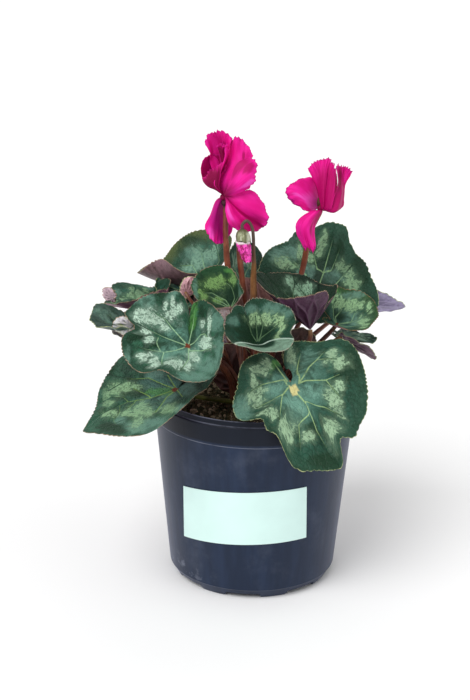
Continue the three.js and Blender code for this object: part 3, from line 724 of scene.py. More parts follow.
def bud_material(flowers):
    """Wrinkled bright pink petals, white where they leave the calyx."""
    shade = Shade("bud_petals")
    wrinkle = shade.noise(shade.stretched(0.55), 420, 3, 0.6, 0.8)
    crinkle = shade.noise(shade.place(), 900, 2, 0.6, 0.4)
    shade.colour = shade.mix(shade.step(wrinkle, 0.36, 0.6), flowers.petal_dark, flowers.bud_light)
    shine = shade.step(wrinkle, 0.6, 0.7) * shade.step(crinkle, 0.4, 0.6)
    shade.paint(shine * 0.75, flowers.bud_shine)
    shade.paint(shade.step(shade.amount("along") + wrinkle * 0.12, 0.2, 0.1), BUD_WHITE)
    shade.bump(wrinkle + crinkle * 0.3, 0.0014)
    return shade.finish(0.45, 0.35)


def bud_sepal_material(flowers):
    """Grey-olive sepals with pale streaks and a painted whitish highlight on their right."""
    shade = Shade("bud_sepals")
    x, _, _ = shade.split(shade.place())
    streaks = shade.noise(shade.stretched(0.12), 520, 3, 0.6)
    fine = shade.noise(shade.stretched(0.1), 1500, 3)
    shade.colour = shade.mix(shade.step(streaks, 0.35, 0.6), flowers.bud_sepal_dark, flowers.bud_sepal)
    shade.paint(shade.step(streaks, 0.56, 0.68) * 0.6, flowers.bud_sepal_pale)
    start, end = ((BUD_AT[0] + off) * MM for off in BUD_SEPAL_HIGHLIGHT_SIDE)
    shade.paint(shade.step(x, start, end) * 0.7, flowers.bud_sepal_pale)
    shade.paint(shade.step(shade.amount("along"), 0.62, 1), flowers.bud_sepal_dark)
    shade.paint(shade.step(fine, 0.5, 0.8) * 0.25, flowers.bud_sepal_dark)
    shade.bump(streaks + fine, 0.0003, 0.6)
    return shade.finish(0.5, 0.35)


def floor_material(stage):
    shade = Shade("floor")
    cloud = shade.noise(shade.place(), 1.2, 2)
    grey = (stage.floor,) * 3
    shade.colour = shade.mix(cloud, grey, toned(grey, 0.99))
    return shade.finish(0.9, 0.1)


# Leaves

CREAM = "B9C08A"
TAN = "A98E75"
LEAF_COLOURS = (
    "silver", "vein", "margin", "spot", "heart", "rim_green", "dark", "light", "under", "under_dark",
)


@dataclass(eq=False)
class Leaf:
    """One leaf. Its form is the same as its solid's, at any fineness.

    at is where the stalk joins the blade. aim is the midrib's yaw, pitch and roll there. size holds
    the midrib's length, and the sides' and back's reach as shares of it. gap is half the notch's
    angle, and lobe how far the lobes beside it are rounded off. cup is the slope at the stalk and
    what is added by the margin. curls lift the margin and bumps lengthen it about an angle from the
    midrib: (angle, spread, amount). crown is the stalk's root on the tuber, as radius and angle, and
    reach holds its upright start, its end handle and the slope it arrives at. A leaf without a crown
    has no stalk of its own.

    The rest are looks: colours as hexadecimal codes, the silver band's place and strength, and
    patterns. marks holds ellipses on the blade for each kind of patch, and veins lines of (x, y),
    both in shares of its reach. Of the patches, silver is the leaf's own marbling, slate is painted
    sheen, dark is painted shade, lit is painted light coming through a fold, and lip is a rolled rim
    painted pale as painted light with a painted highlight on its crest. rim is a finer outline, as
    (angle, factor). slit is half the notch's angle on either side as it is shown, and hole what is
    added to it near the stalk.
    """

    name: str
    at: tuple
    aim: tuple
    size: tuple
    cup: tuple
    crown: tuple = None
    reach: tuple = None
    gap: float = 9
    bumps: tuple = ()
    curls: tuple = ()
    lobe: float = LOBE_ROUNDING
    seed: float = 0.0
    band: float = 0.62
    amount: float = 0.85
    silver: str = "A6CBAE"
    vein: str = "93BC88"
    vein_show: float = 0.75
    margin: str = CREAM
    spot: str = "7A3A24"
    spot_size: float = 0.06
    spot_at: tuple = (0, 0)
    heart: str = "517F72"
    rim_green: str = "224936"
    dark: str = None
    light: str = None
    under: str = "7E566B"
    under_dark: str = "4A2440"
    marks: dict = field(default_factory=dict)
    veins: tuple = ()
    rim: tuple = ()
    slit: tuple = None
    hole: tuple = (0, 0)

    def __post_init__(self):
        self.at = np.array(self.at, float)
        self.slit = self.slit or (self.gap * 0.6, self.gap * 0.6)
        for key in LEAF_COLOURS:
            code = getattr(self, key)
            setattr(self, key, code and rgb(code))
        yaw, pitch, roll = np.radians(self.aim)
        heading = np.array([math.cos(yaw), math.sin(yaw), 0])
        self.midrib = heading * math.cos(pitch) + (0, 0, math.sin(pitch))
        level = np.array([-math.sin(yaw), math.cos(yaw), 0])
        upward = np.cross(self.midrib, level)
        self.side = level * math.cos(roll) + upward * math.sin(roll)
        self.normal = upward * math.cos(roll) - level * math.sin(roll)

    def outline(self, angle):
        """The blade's reach at angles in degrees from the midrib."""
        length, side, back = self.size
        mean = ((1 + back) / 2 + side) / 2
        square = ((1 + back) / 2 - side) / 2
        turn = np.radians(angle)
        plain = mean + (1 - back) / 2 * np.cos(turn) + square * np.cos(2 * turn)
        past = np.abs(angle) - (180 - self.gap - LOBE_ROUNDING_ANGLE)
        rounding = 1 - self.lobe * np.maximum(0, past / LOBE_ROUNDING_ANGLE) ** 2.5
        return length * plain * rounding * (1 + sum(bell(angle, bump) for bump in self.bumps))

    def shown_outline(self, angle):
        """The outline with its finer bays and lobes."""
        plain = self.outline(angle)
        if not self.rim:
            return plain
        angles, factors = np.array(self.rim).T
        near = [np.interp(angle + offset, angles, factors) for offset in (-3, -1.5, 0, 1.5, 3)]
        return plain * np.mean(near, axis=0)

    def surface(self, angle, share, reach):
        """Points of the blade's middle surface."""
        curl = sum(bell(angle, one) for one in self.curls)
        across, rise = 0, 0
        for i in range(BEND_STEPS):
            part = (i + 0.5) / BEND_STEPS * share
            slope = np.radians(self.cup[0] + self.cup[1] * part + curl * part**1.5)
            across = across + np.cos(slope)
            rise = rise + np.sin(slope)
        step = (reach * share / BEND_STEPS)[..., None]
        turn = np.radians(angle)
        return (
            self.at
            + across[..., None] * step * np.cos(turn)[..., None] * self.midrib
            + across[..., None] * step * np.sin(turn)[..., None] * self.side
            + rise[..., None] * step * self.normal
        )

    def stalk(self, radius, steps):
        """The stalk's path from the tuber to the blade's underside."""
        rise, handle, arrival = self.reach
        root = crown_point(self.crown, radius)
        slope = math.radians(arrival)
        arriving = self.midrib * math.cos(slope) + self.normal * math.sin(slope)
        tilt = math.radians(max(0, abs(90 - arrival) - max(0, self.cup[0])))
        clear = (BLADE / 2 + SEAT_GAP + radius * math.sin(tilt)) / math.cos(tilt)
        end = self.at - arriving * clear
        path = bezier(root, root + (0, 0, rise), end - arriving * handle, end, steps)
        return np.concatenate([path, [self.at - arriving * 0.35 - self.normal * 0.1]])


def bell(angle, bump):
    at, spread, amount = bump
    return amount * np.exp(-(((angle - at) / spread) ** 2))


def tuber_top(radius):
    share = min(1, radius / TUBER_RADIUS)
    return TUBER_TOP - TUBER_HEIGHT / 2 + TUBER_HEIGHT / 2 * math.sqrt(1 - share * share)


def crown_point(crown, stalk_radius):
    radius, angle = crown
    return polar(radius, angle, tuber_top(max(0, radius - stalk_radius)) + SEAT_GAP)


LEAVES = [
    # Front leaves that show their upper faces
    Leaf("front_right", at=(23, -46, 154), aim=(-45, -51, 19), size=(65, 0.71, 0.49), cup=(5, 4),
         crown=(15, -68), reach=(12, 14, 50),
         bumps=[(15, 7, -0.26), (32, 12, -0.14), (-42, 12, -0.26), (-64, 11, -0.32), (100, 20, 0.19)],
         hole=(50, -5), seed=3.1, band=0.6, amount=0.92, silver="9DBE99", vein="ABCA88", spot="DAD392",
         spot_size=0.065, spot_at=(0.09, 0), heart="5F8F7D",
         marks={"silver": [
             (0, -0.6, 0.15, 0.12, 45), (0.1, -0.6, 0.08, 0.06, -60), (0.35, -0.7, 0.13, 0.06, 85),
             (0.4, -0.55, 0.1, 0.06, -65), (0.55, -0.4, 0.2, 0.08, -60), (0.6, -0.15, 0.08, 0.05, -80),
             (0.75, 0.2, 0.11, 0.1, -30), (0.4, 0.4, 0.14, 0.08, -25), (0.55, 0.4, 0.12, 0.05, -15),
             (0, 0.7, 0.12, 0.07, 75), (0.3, 0.55, 0.08, 0.05, -55), (-0.6, 0.3, 0.26, 0.1, -10),
             (-0.55, -0.35, 0.2, 0.08, -10), (-0.45, -0.5, 0.14, 0.09, 70), (-0.25, -0.65, 0.14, 0.06, 0),
             (-0.15, 0.7, 0.08, 0.06, -45),
         ], "slate": [
             (0.25, -0.1, 0.24, 0.12, -50), (-0.05, -0.3, 0.18, 0.1, 65), (0.1, -0.9, 0.2, 0.14, -65),
             (-0.3, 0.5, 0.25, 0.12, -30), (0.2, 0.2, 0.13, 0.08, 70),
         ], "dark": [
             (0.55, -0.05, 0.12, 0.07, -40), (0.9, -0.1, 0.2, 0.08, 75), (-0.7, -0.55, 0.2, 0.14, -65),
             (0.1, 0.85, 0.25, 0.13, -35),
         ], "lit": [(-0.75, -0.15, 0.4, 0.06, -20)]},
         veins=[
             [(0.05, 0.1), (-0.25, 0.3), (-0.5, 0.5)],
             [(0.05, 0.1), (-0.1, 0.35), (-0.15, 0.5), (-0.05, 0.7)], [(-0.15, 0.5), (-0.25, 0.75)],
             [(0.05, 0.1), (0.05, 0.2), (0.15, 0.45), (0.4, 0.5)], [(0.15, 0.45), (0.15, 0.65)],
             [(0.1, 0), (0.3, 0.05), (0.45, 0.25), (0.65, 0.4)],
             [(0.3, 0.05), (0.55, 0), (0.8, 0), (1, 0.05)], [(0.35, 0.05), (0.45, -0.15), (0.75, -0.3)],
             [(0.05, -0.05), (0.15, -0.25), (0.5, -0.5)], [(0.15, -0.25), (0.15, -0.65)],
             [(0.05, -0.05), (-0.1, -0.1), (-0.15, -0.5), (-0.1, -0.7)],
             [(-0.05, -0.05), (-0.25, -0.1), (-0.85, -0.25)],
         ],
         rim=[
             (-170, 1), (-150, 0.93), (-130, 1), (-105, 0.93), (-90, 1.04), (-75, 1.06), (-60, 0.97),
             (-48, 0.89), (-40, 0.97), (-30, 1.06), (-15, 0.98), (4, 1.04), (9, 0.92), (14, 1.1), (20, 1.07),
             (25, 1), (35, 1.02), (50, 0.93), (75, 1), (105, 1), (120, 0.86), (145, 0.86), (160, 0.94),
         ]),
    Leaf("front_left_low", at=(-53, -31, 143), aim=(211, -24, -1), size=(65, 0.64, 0.58), gap=17, cup=(7, 5),
         crown=(15, -144), reach=(4, 16, 60),
         bumps=[(0, 9, 0.1), (-28, 18, -0.12), (-90, 25, 0.43), (90, 25, -0.17), (-140, 40, -0.5)], seed=7.4,
         band=0.62, amount=0.75, silver="98C292", vein="93BC5E", vein_show=0.85, margin=TAN,
         rim_green="2F5C46", light="356049",
         marks={"silver": [
             (0.45, -0.55, 0.16, 0.09, -55), (0.55, -0.55, 0.1, 0.08, 80), (0.45, 0.1, 0.15, 0.09, 80),
             (0.6, 0.25, 0.18, 0.05, 60), (0.7, -0.55, 0.14, 0.05, 60), (0.75, -0.4, 0.11, 0.05, 80),
             (0.35, 0.5, 0.25, 0.07, 80), (0.55, 0, 0.1, 0.05, 80), (0.75, -0.15, 0.14, 0.05, -45),
         ], "slate": [
             (0.6, 0.55, 0.28, 0.12, 80), (0.7, 0.4, 0.2, 0.1, 90), (0.15, 0.1, 0.16, 0.07, 85),
             (0, -0.45, 0.11, 0.1, 50), (-0.1, 0.45, 0.36, 0.16, 80), (0.35, 0.8, 0.22, 0.08, 85),
             (0.7, 0.1, 0.12, 0.05, 55),
         ], "dark": [(0.4, -0.35, 0.2, 0.1, -55), (0.35, -0.95, 0.14, 0.07, 20), (0.85, 0.2, 0.2, 0.1, 85)],
         "lit": [(0.15, -0.1, 0.17, 0.07, -50)]},
         veins=[
             [(0, 0), (0.15, -0.05), (0.3, -0.1), (0.55, -0.25), (0.8, -0.25), (0.9, -0.2), (1, -0.05)],
             [(0.55, -0.25), (0.55, -0.4), (0.65, -0.5), (0.8, -0.5)], [(0.3, -0.1), (0.35, -0.45)],
             [(0, 0), (0.05, -0.2), (0.1, -0.45), (0.3, -0.65), (0.6, -0.65)], [(0.25, -0.6), (0.4, -0.9)],
             [(0, 0), (-0.1, -0.4)], [(0, 0), (0.1, 0.45)], [(0, 0), (0.15, 0.05), (0.4, 0.25)],
             [(0.45, -0.2), (0.55, -0.1)], [(0.65, -0.25), (0.65, -0.05), (0.75, 0.1)],
         ],
         rim=[
             (-85, 1.09), (-75, 1.03), (-30, 1.03), (-5, 0.99), (0, 1.03), (5, 1), (20, 1.03), (40, 1.08),
             (47, 1.04), (55, 0.95), (63, 0.89), (75, 0.85), (125, 0.83), (140, 0.89), (160, 1),
         ]),
    Leaf("front_left_high", at=(-45, -35, 175), aim=(-101, -40, 5), size=(43, 0.94, 0.88), gap=8,
         cup=(27, 9), crown=(15, -160), reach=(40, 18, 95),
         bumps=[(-35, 18, 0.1), (35, 18, 0.42), (-75, 22, 0.13), (75, 22, -0.13), (125, 25, -0.22)],
         slit=(0.2, 0.2), seed=1.7, band=0.58, amount=1.0, silver="C0DEC8", vein="A8D0A0", margin=TAN,
         heart="5F8F7D", light="35694F",
         marks={"silver": [
             (-0.3, -0.6, 0.23, 0.13, -65), (-0.3, -0.75, 0.1, 0.08, -20), (-0.2, -0.4, 0.08, 0.06, -65),
             (-0.55, -0.3, 0.2, 0.06, -40), (-0.6, -0.45, 0.1, 0.03, 0), (-0.7, -0.35, 0.12, 0.03, 0),
             (-0.05, -0.75, 0.12, 0.06, -60), (0.1, -0.6, 0.07, 0.06, 25), (0.5, -0.55, 0.09, 0.07, 15),
             (0.55, -0.35, 0.15, 0.08, 15), (0.6, -0.1, 0.19, 0.13, 90), (0.5, 0.15, 0.14, 0.06, 15),
             (0.25, 0.15, 0.11, 0.08, 35), (0.1, 0.45, 0.17, 0.09, 50), (0, 0.5, 0.16, 0.08, 30),
             (-0.45, 0.35, 0.09, 0.06, 30), (-0.35, 0.55, 0.2, 0.05, 0),
         ], "slate": [
             (0.55, 0.5, 0.28, 0.13, 55), (0.4, 0.8, 0.3, 0.15, 0), (0.8, 0.3, 0.23, 0.14, -60),
             (-0.9, -0.35, 0.18, 0.08, -40), (-0.4, 0.75, 0.27, 0.18, 10), (0.35, -0.3, 0.13, 0.1, -60),
             (0.25, -0.1, 0.13, 0.1, 50), (0.6, -0.75, 0.2, 0.05, 20), (-0.6, -0.75, 0.18, 0.12, 0),
         ], "dark": [
             (-0.3, 0.1, 0.4, 0.1, 0), (0.15, -0.45, 0.23, 0.06, -65), (0.15, -0.8, 0.13, 0.09, -55),
             (-0.65, 0.35, 0.18, 0.1, 10), (-0.8, -0.55, 0.13, 0.07, -50),
         ], "lit": [(-0.7, 0.1, 0.36, 0.1, -5)]},
         veins=[
             [(0, 0), (-0.25, -0.3), (-0.35, -0.4), (-0.4, -0.55)], [(0, 0), (-0.05, -0.45), (-0.15, -0.9)],
             [(0, 0), (0.15, -0.15), (0.25, -0.3), (0.3, -0.6), (0.3, -0.95)], [(0.25, -0.35), (0, -0.55)],
             [(0.3, -0.7), (0.5, -0.7)], [(0.25, -0.3), (0.6, -0.25)], [(0, 0), (0.3, 0.1), (0.7, 0.1)],
             [(0, 0), (-0.05, 0.15), (-0.2, 0.3), (-0.2, 0.4), (-0.1, 0.5)],
             [(0, 0), (-0.5, 0.1), (-0.9, 0.15)], [(0, 0), (0.1, 0.05), (0.2, 0.3), (0.25, 0.55)],
         ],
         rim=[
             (-178, 1.9), (-172, 1.5), (-164, 1.28), (-156, 1.09), (-148, 1.06), (-125, 1.17), (-101, 1.18),
             (-98, 1), (-92, 0.86), (-85, 0.91), (-79, 0.98), (-55, 1.07), (-25, 1.04), (-17, 0.87),
             (-5, 0.94), (6, 1.06), (14, 1.14), (26, 1.08), (40, 1), (46, 1), (60, 1.09), (66, 1.09),
             (82, 0.98), (103, 0.92), (115, 1.05), (125, 1.1), (150, 0.95), (165, 1.07), (172, 1.35),
             (178, 1.8),
         ]),
    # Its near-black heart and stalk spot are painted shade deep in its cup
    Leaf("front_middle", at=(1, -30, 176), aim=(-52, -26, 12), size=(42, 0.74, 0.88), gap=5, cup=(34, 8),
         crown=(15, -88), reach=(22, 14, 85), bumps=[(45, 25, -0.18)], lobe=0.12, slit=(0.3, 0.3), seed=5.9,
         band=0.66, silver="ABD09C", vein_show=0.3, margin="B9AB98", spot="0E3322", heart="0F3323",
         marks={"silver": [
             (-0.6, 0.2, 0.13, 0.06, 60), (-0.45, 0.25, 0.23, 0.08, 60), (-0.3, 0.5, 0.13, 0.12, 50),
             (-0.45, 0.45, 0.09, 0.06, 70), (-0.2, 0.65, 0.1, 0.08, 10), (0, 0.65, 0.16, 0.1, 0),
             (0.25, 0.6, 0.15, 0.08, -30), (0.4, 0.4, 0.14, 0.07, -50),
         ], "slate": [
             (-0.75, 0.2, 0.24, 0.1, 55), (-0.45, 0.7, 0.25, 0.14, 55), (-0.05, 0.85, 0.2, 0.12, 20),
             (-0.55, -0.55, 0.26, 0.13, -60),
         ], "dark": [
             (-0.6, -0.1, 0.2, 0.2, 0), (-0.3, -0.5, 0.2, 0.12, 60), (-0.2, 0, 0.36, 0.3, 80),
             (-0.45, -0.2, 0.3, 0.14, -35), (0, -0.3, 0.3, 0.15, 90),
         ], "lip": [(0.75, -0.3, 0.65, 0.75, 0)]},
         veins=[
             [(0, 0), (-0.05, 0.15), (0, 0.6)], [(0, 0), (-0.1, 0.15), (-0.25, 0.3), (-0.4, 0.35)],
             [(0, 0), (-0.25, -0.05), (-0.55, 0)], [(0, 0), (-0.2, 0.1), (-0.55, 0.25)],
         ],
         rim=[
             (-170, 0.87), (-150, 0.8), (-135, 0.9), (-115, 1), (-80, 1.22), (-62, 1.28), (-48, 1.08),
             (-40, 1.02), (-10, 0.96), (20, 0.9), (58, 0.86), (68, 1), (95, 1.06), (125, 0.94), (150, 0.88),
             (170, 0.86),
         ]),
    Leaf("centre_left", at=(-17, -12, 195), aim=(130, 9, -30), size=(33, 0.7, 0.51), gap=8, cup=(35, 18),
         crown=(15, -124), reach=(30, 16, 80), bumps=[(-100, 30, -0.19)], seed=2.6, band=0.66, amount=0.95,
         silver="80AB64", margin=TAN, heart="284837", rim_green="234F2E", dark="0D2C19", light="1C4127",
         under="D9A9A8", under_dark="96605F",
         marks={"silver": [
             (0.6, -0.1, 0.28, 0.1, 60), (0.6, -0.3, 0.18, 0.09, 60), (0.3, -0.8, 0.23, 0.1, 75),
             (0.5, 0.5, 0.25, 0.08, -65), (0.65, 0.4, 0.1, 0.05, -75), (0.3, 0.15, 0.14, 0.07, 85),
         ], "slate": [(0.7, 0.55, 0.38, 0.06, -55), (-0.4, -0.65, 0.5, 0.13, -25)],
         "dark": [(0.2, -0.25, 0.23, 0.16, 70), (0.85, 0.1, 0.13, 0.09, 80), (-0.2, -0.3, 0.2, 0.2, 0)],
         "lit": [(0.5, -0.8, 0.24, 0.05, 55)]},
         veins=[
             [(0, 0), (0.05, -0.35), (0.3, -0.45), (0.45, -0.4)],
             [(0, 0), (0.2, -0.05), (0.5, 0.1), (0.6, 0.3)], [(0, 0), (0.2, 0.05), (0.5, 0.25)],
             [(0, 0), (-0.15, -0.55), (0, -0.8), (0.1, -1)], [(0, 0), (0.2, 0.15), (0.3, 0.25)],
         ]),
    # Left leaves
    Leaf("left_high", at=(-36, 40, 195), aim=(165, -22, -13), size=(49, 0.96, 0.66), gap=10, cup=(25, 11),
         crown=(15, 137), reach=(30, 18, 85), bumps=[(-40, 20, -0.14)], curls=[(60, 40, 70)], seed=8.8,
         band=0.45, silver="7AA28A", margin=TAN, heart="2A4C41", rim_green="4C5A30", under="6C5058",
         under_dark="4E3B38",
         marks={"silver": [
             (0.1, -0.7, 0.1, 0.07, -15), (0.05, -0.5, 0.1, 0.07, 90), (0.15, -0.5, 0.1, 0.08, -15),
             (-0.15, -0.55, 0.13, 0.09, -20), (-0.25, -0.65, 0.1, 0.09, -65), (0.35, -0.45, 0.1, 0.05, -5),
             (0.2, -0.4, 0.14, 0.05, -10),
         ], "slate": [
             (0.2, -0.6, 0.18, 0.12, -15), (-0.1, -0.45, 0.18, 0.12, -15), (0.3, -0.35, 0.2, 0.1, 0),
         ], "dark": [(0.2, -0.85, 0.14, 0.08, -10)]},
         veins=[
             [(0, 0), (0, -0.35), (0.05, -0.65), (0.15, -0.75)],
             [(0, 0), (-0.35, -0.4), (-0.25, -0.7), (-0.15, -0.85)], [(0, 0), (0.2, -0.45), (0.45, -0.5)],
             [(0, 0), (0.3, -0.1), (0.7, -0.15)], [(0, 0), (0.3, 0.2), (0.5, 0.5)],
         ],
         rim=[(-100, 1.09), (-80, 1.08), (-30, 1), (70, 1), (100, 0.95), (125, 0.9), (160, 0.9)]),
    Leaf("left_middle", at=(-67, 6, 188.5), aim=(167, -30, -3), size=(38, 0.76, 0.55), cup=(31, 11),
         crown=(15, 169), reach=(50, 20, 80), bumps=[(-40, 20, 0.24), (-80, 25, -0.27)], seed=4.2, band=0.6,
         silver="84A880", margin=TAN, heart="315247",
         marks={"silver": [
             (0.85, -0.05, 0.3, 0.08, -75), (0.65, -0.25, 0.13, 0.07, 25), (0.5, -0.35, 0.08, 0.08, 60),
             (0.4, -0.45, 0.3, 0.1, -65), (0.35, -0.65, 0.16, 0.07, 80),
         ], "slate": [(0.85, -0.3, 0.19, 0.1, 50), (0.3, -0.9, 0.23, 0.08, 20)]}),
    Leaf("left_low", at=(-88, -24, 183), aim=(168, -5, -6), size=(25, 0.8, 0.38), cup=(19, 12),
         crown=(15, -175), reach=(50, 20, 70), bumps=[(-35, 18, 0.25), (-100, 40, -0.4)], seed=6.3,
         amount=0.1, vein_show=0.25, heart="4A635A", rim_green="3C564C", dark="2E463D", light="4A635A",
         under="4E5F58", under_dark="2B3D38"),
    Leaf("left_under", at=(-81, -4, 178), aim=(185, 0, -38), size=(19, 0.55, 0.35), gap=12, cup=(10, 8),
         crown=(9, -168), reach=(40, 12, 50), seed=9.5, amount=0.0, vein_show=0.2, heart="8FA97A",
         rim_green="D9CFD4", dark="B9B8A4", light="D2D0C4", under="D9D2DC", under_dark="B9AEBE"),
    Leaf("left_back", at=(-50, 16, 188), aim=(150, 14, -15), size=(17, 0.7, 0.39), cup=(9, 5),
         crown=(15, 153), reach=(25, 14, 75), seed=1.2, amount=0.4),
    # Right leaves
    Leaf("right_high", at=(43, 40, 191), aim=(54, 55, 38), size=(57, 0.77, 0.66), cup=(-3, -4),
         crown=(15, 24), reach=(30, 18, 60),
         bumps=[(-22, 12, -0.17), (-45, 20, -0.17), (40, 20, -0.21), (-90, 25, 0.11), (-140, 45, -0.45)],
         seed=2.9, band=0.6, silver="8CB288", vein="93BC84", heart="2C4A3A", light="254C38",
         marks={"silver": [
             (0.7, 0.15, 0.08, 0.05, 35), (0.6, 0.15, 0.08, 0.05, 25), (0.8, 0.15, 0.07, 0.03, 25),
             (0.6, -0.25, 0.09, 0.07, -40), (0.45, -0.45, 0.11, 0.1, 0), (0.55, -0.35, 0.1, 0.05, 10),
             (0.4, -0.55, 0.1, 0.07, -25), (0.3, 0.65, 0.11, 0.08, -65), (0.35, 0.6, 0.08, 0.06, 20),
             (0.55, 0.45, 0.1, 0.05, 20), (0.5, 0.25, 0.09, 0.05, 30), (0.3, 0.5, 0.08, 0.05, -45),
         ], "slate": [
             (0.4, 0.7, 0.17, 0.12, -55), (0.25, 0.25, 0.15, 0.12, 35), (0.4, -0.2, 0.18, 0.1, -55),
             (0.55, 0.6, 0.15, 0.12, 15),
         ], "dark": [
             (0.75, -0.5, 0.19, 0.09, 25), (0.6, -0.65, 0.14, 0.1, 15), (0.75, -0.1, 0.1, 0.06, -40),
         ]},
         veins=[
             [(0, 0), (0.3, 0), (1, 0.05)], [(0.3, 0), (0.35, 0.1), (0.6, 0.25)],
             [(0.3, 0), (0.45, -0.1), (0.75, -0.1)], [(0, 0), (0.15, -0.2), (0.7, -0.4)],
             [(0, 0), (0.15, -0.4), (0.35, -0.65), (0.55, -0.7)], [(0, 0), (0.25, 0.25), (0.4, 0.6)],
         ],
         rim=[
             (-65, 1), (-50, 1.02), (-28, 1.02), (-17, 0.98), (-10, 0.9), (-7, 1.02), (10, 1), (19, 0.96),
             (38, 1.15), (45, 1.04), (55, 1), (65, 1),
         ]),
    # Its very dark greens and dark plum underside are painted shade
    Leaf("right_middle", at=(37, -12, 181), aim=(157, -11, 5), size=(51, 0.71, 0.73), cup=(47, 4),
         crown=(15, -40), reach=(20, 16, 85), bumps=[(-60, 30, 0.12), (60, 30, -0.21), (0, 30, 0.06)],
         seed=7.7, band=0.62, silver="93BC9C", margin=TAN, heart="0F3323", rim_green="0A2618", dark="0A2416",
         light="153A26", under="41233A", under_dark="280E1F",
         marks={"silver": [
             (0.6, -0.65, 0.14, 0.08, 90), (0.35, -0.6, 0.19, 0.08, 45), (0.25, -0.75, 0.16, 0.06, 40),
         ], "dark": [(0.7, -0.35, 0.4, 0.25, 75), (0.3, -0.3, 0.4, 0.3, 0)]}),
    Leaf("right_front", at=(56, 6, 179), aim=(1, -12, 19), size=(30, 0.9, 0.45), cup=(23, 15),
         crown=(15, -8), reach=(20, 16, 75), bumps=[(100, 30, 0.18)], seed=3.8, silver="A0C996",
         margin="9C7656", rim_green="2C5027",
         marks={"silver": [
             (-0.05, 0.6, 0.22, 0.14, -15), (0.35, 0.5, 0.2, 0.15, -15), (0.75, 0.35, 0.17, 0.07, -85),
             (0.65, -0.25, 0.36, 0.12, -85),
         ], "slate": [(0.35, 0.8, 0.28, 0.12, 0), (0.45, 0, 0.3, 0.2, -55)],
         "dark": [(0, 0.25, 0.19, 0.14, -15)],
         "lit": [(-0.2, 0.9, 0.18, 0.05, -10)]},
         veins=[
             [(0, 0), (-0.05, 0.2), (0.1, 0.45)], [(0, 0), (0.35, 0.05), (0.4, 0.3)],
             [(0, 0), (0.3, 0), (0.6, 0.1), (0.8, 0.35)], [(0, 0), (-0.1, 0.15), (-0.15, 0.5), (-0.1, 0.65)],
             [(0, 0), (0.25, -0.2), (0.6, -0.3)],
         ],
         rim=[
             (-160, 1), (-60, 1.02), (-14, 0.95), (-4, 1.01), (10, 1), (33, 1.05), (58, 1.03), (83, 0.9),
             (96, 0.95), (113, 1.08), (130, 1),
         ]),
    Leaf("right_low", at=(60, 1, 172), aim=(-6, -33, -27), size=(28, 0.44, 0.15), gap=30, cup=(2, -2),
         crown=(15, -24), reach=(14, 14, 60), seed=5.1, amount=0.2, heart="6B5563", rim_green="6B5563",
         under="6B5563", under_dark="4A3644"),
    Leaf("right_lower", at=(62, 30, 165), aim=(-15, -6, -3), size=(25, 0.52, 0.4), cup=(4, -7),
         crown=(15, 8), reach=(18, 14, 70), seed=6.6, under="7A2460", under_dark="4A1038"),
    Leaf("right_far", at=(71, 71, 178), aim=(4, -17, -38), size=(37, 0.46, 0.34), cup=(6, 6), crown=(15, 40),
         reach=(30, 18, 70), bumps=[(0, 12, 0.13), (-35, 18, -0.08), (35, 18, -0.08)], seed=8.1,
         under="877D9C", under_dark="695F80"),
    # Leaves at the back, lower than those in front of them
    Leaf("back_middle", at=(-9, 36, 199), aim=(115, 69, 28), size=(32, 0.63, 0.41), cup=(8, 4),
         crown=(15, 104), reach=(30, 14, 75), seed=4.9),
    Leaf("back_right", at=(25, 62, 164), aim=(54, -20, 5), size=(33, 0.84, 0.5), cup=(14, 10),
         crown=(15, 62), reach=(30, 20, 75), bumps=[(-40, 20, -0.15)], seed=2.2),
    Leaf("back_left", at=(-38, 54, 166), aim=(132, -18, -4), size=(40, 0.85, 0.55), cup=(10, 12),
         crown=(15, 120), reach=(20, 20, 75), bumps=[(40, 20, -0.12)], seed=9.1),
    Leaf("back_low", at=(-6, 56, 147), aim=(92, -34, 3), size=(40, 0.84, 0.45), cup=(8, 12), crown=(15, 88),
         reach=(8, 18, 70), bumps=[(60, 25, 0.1), (-100, 40, -0.3)], seed=5.5),
]

# The stalk that is still green, and a young leaf's stalk as a share of the others' radius
GREEN_STALKS = ("front_left_low",)
YOUNG_STALK = 0.7

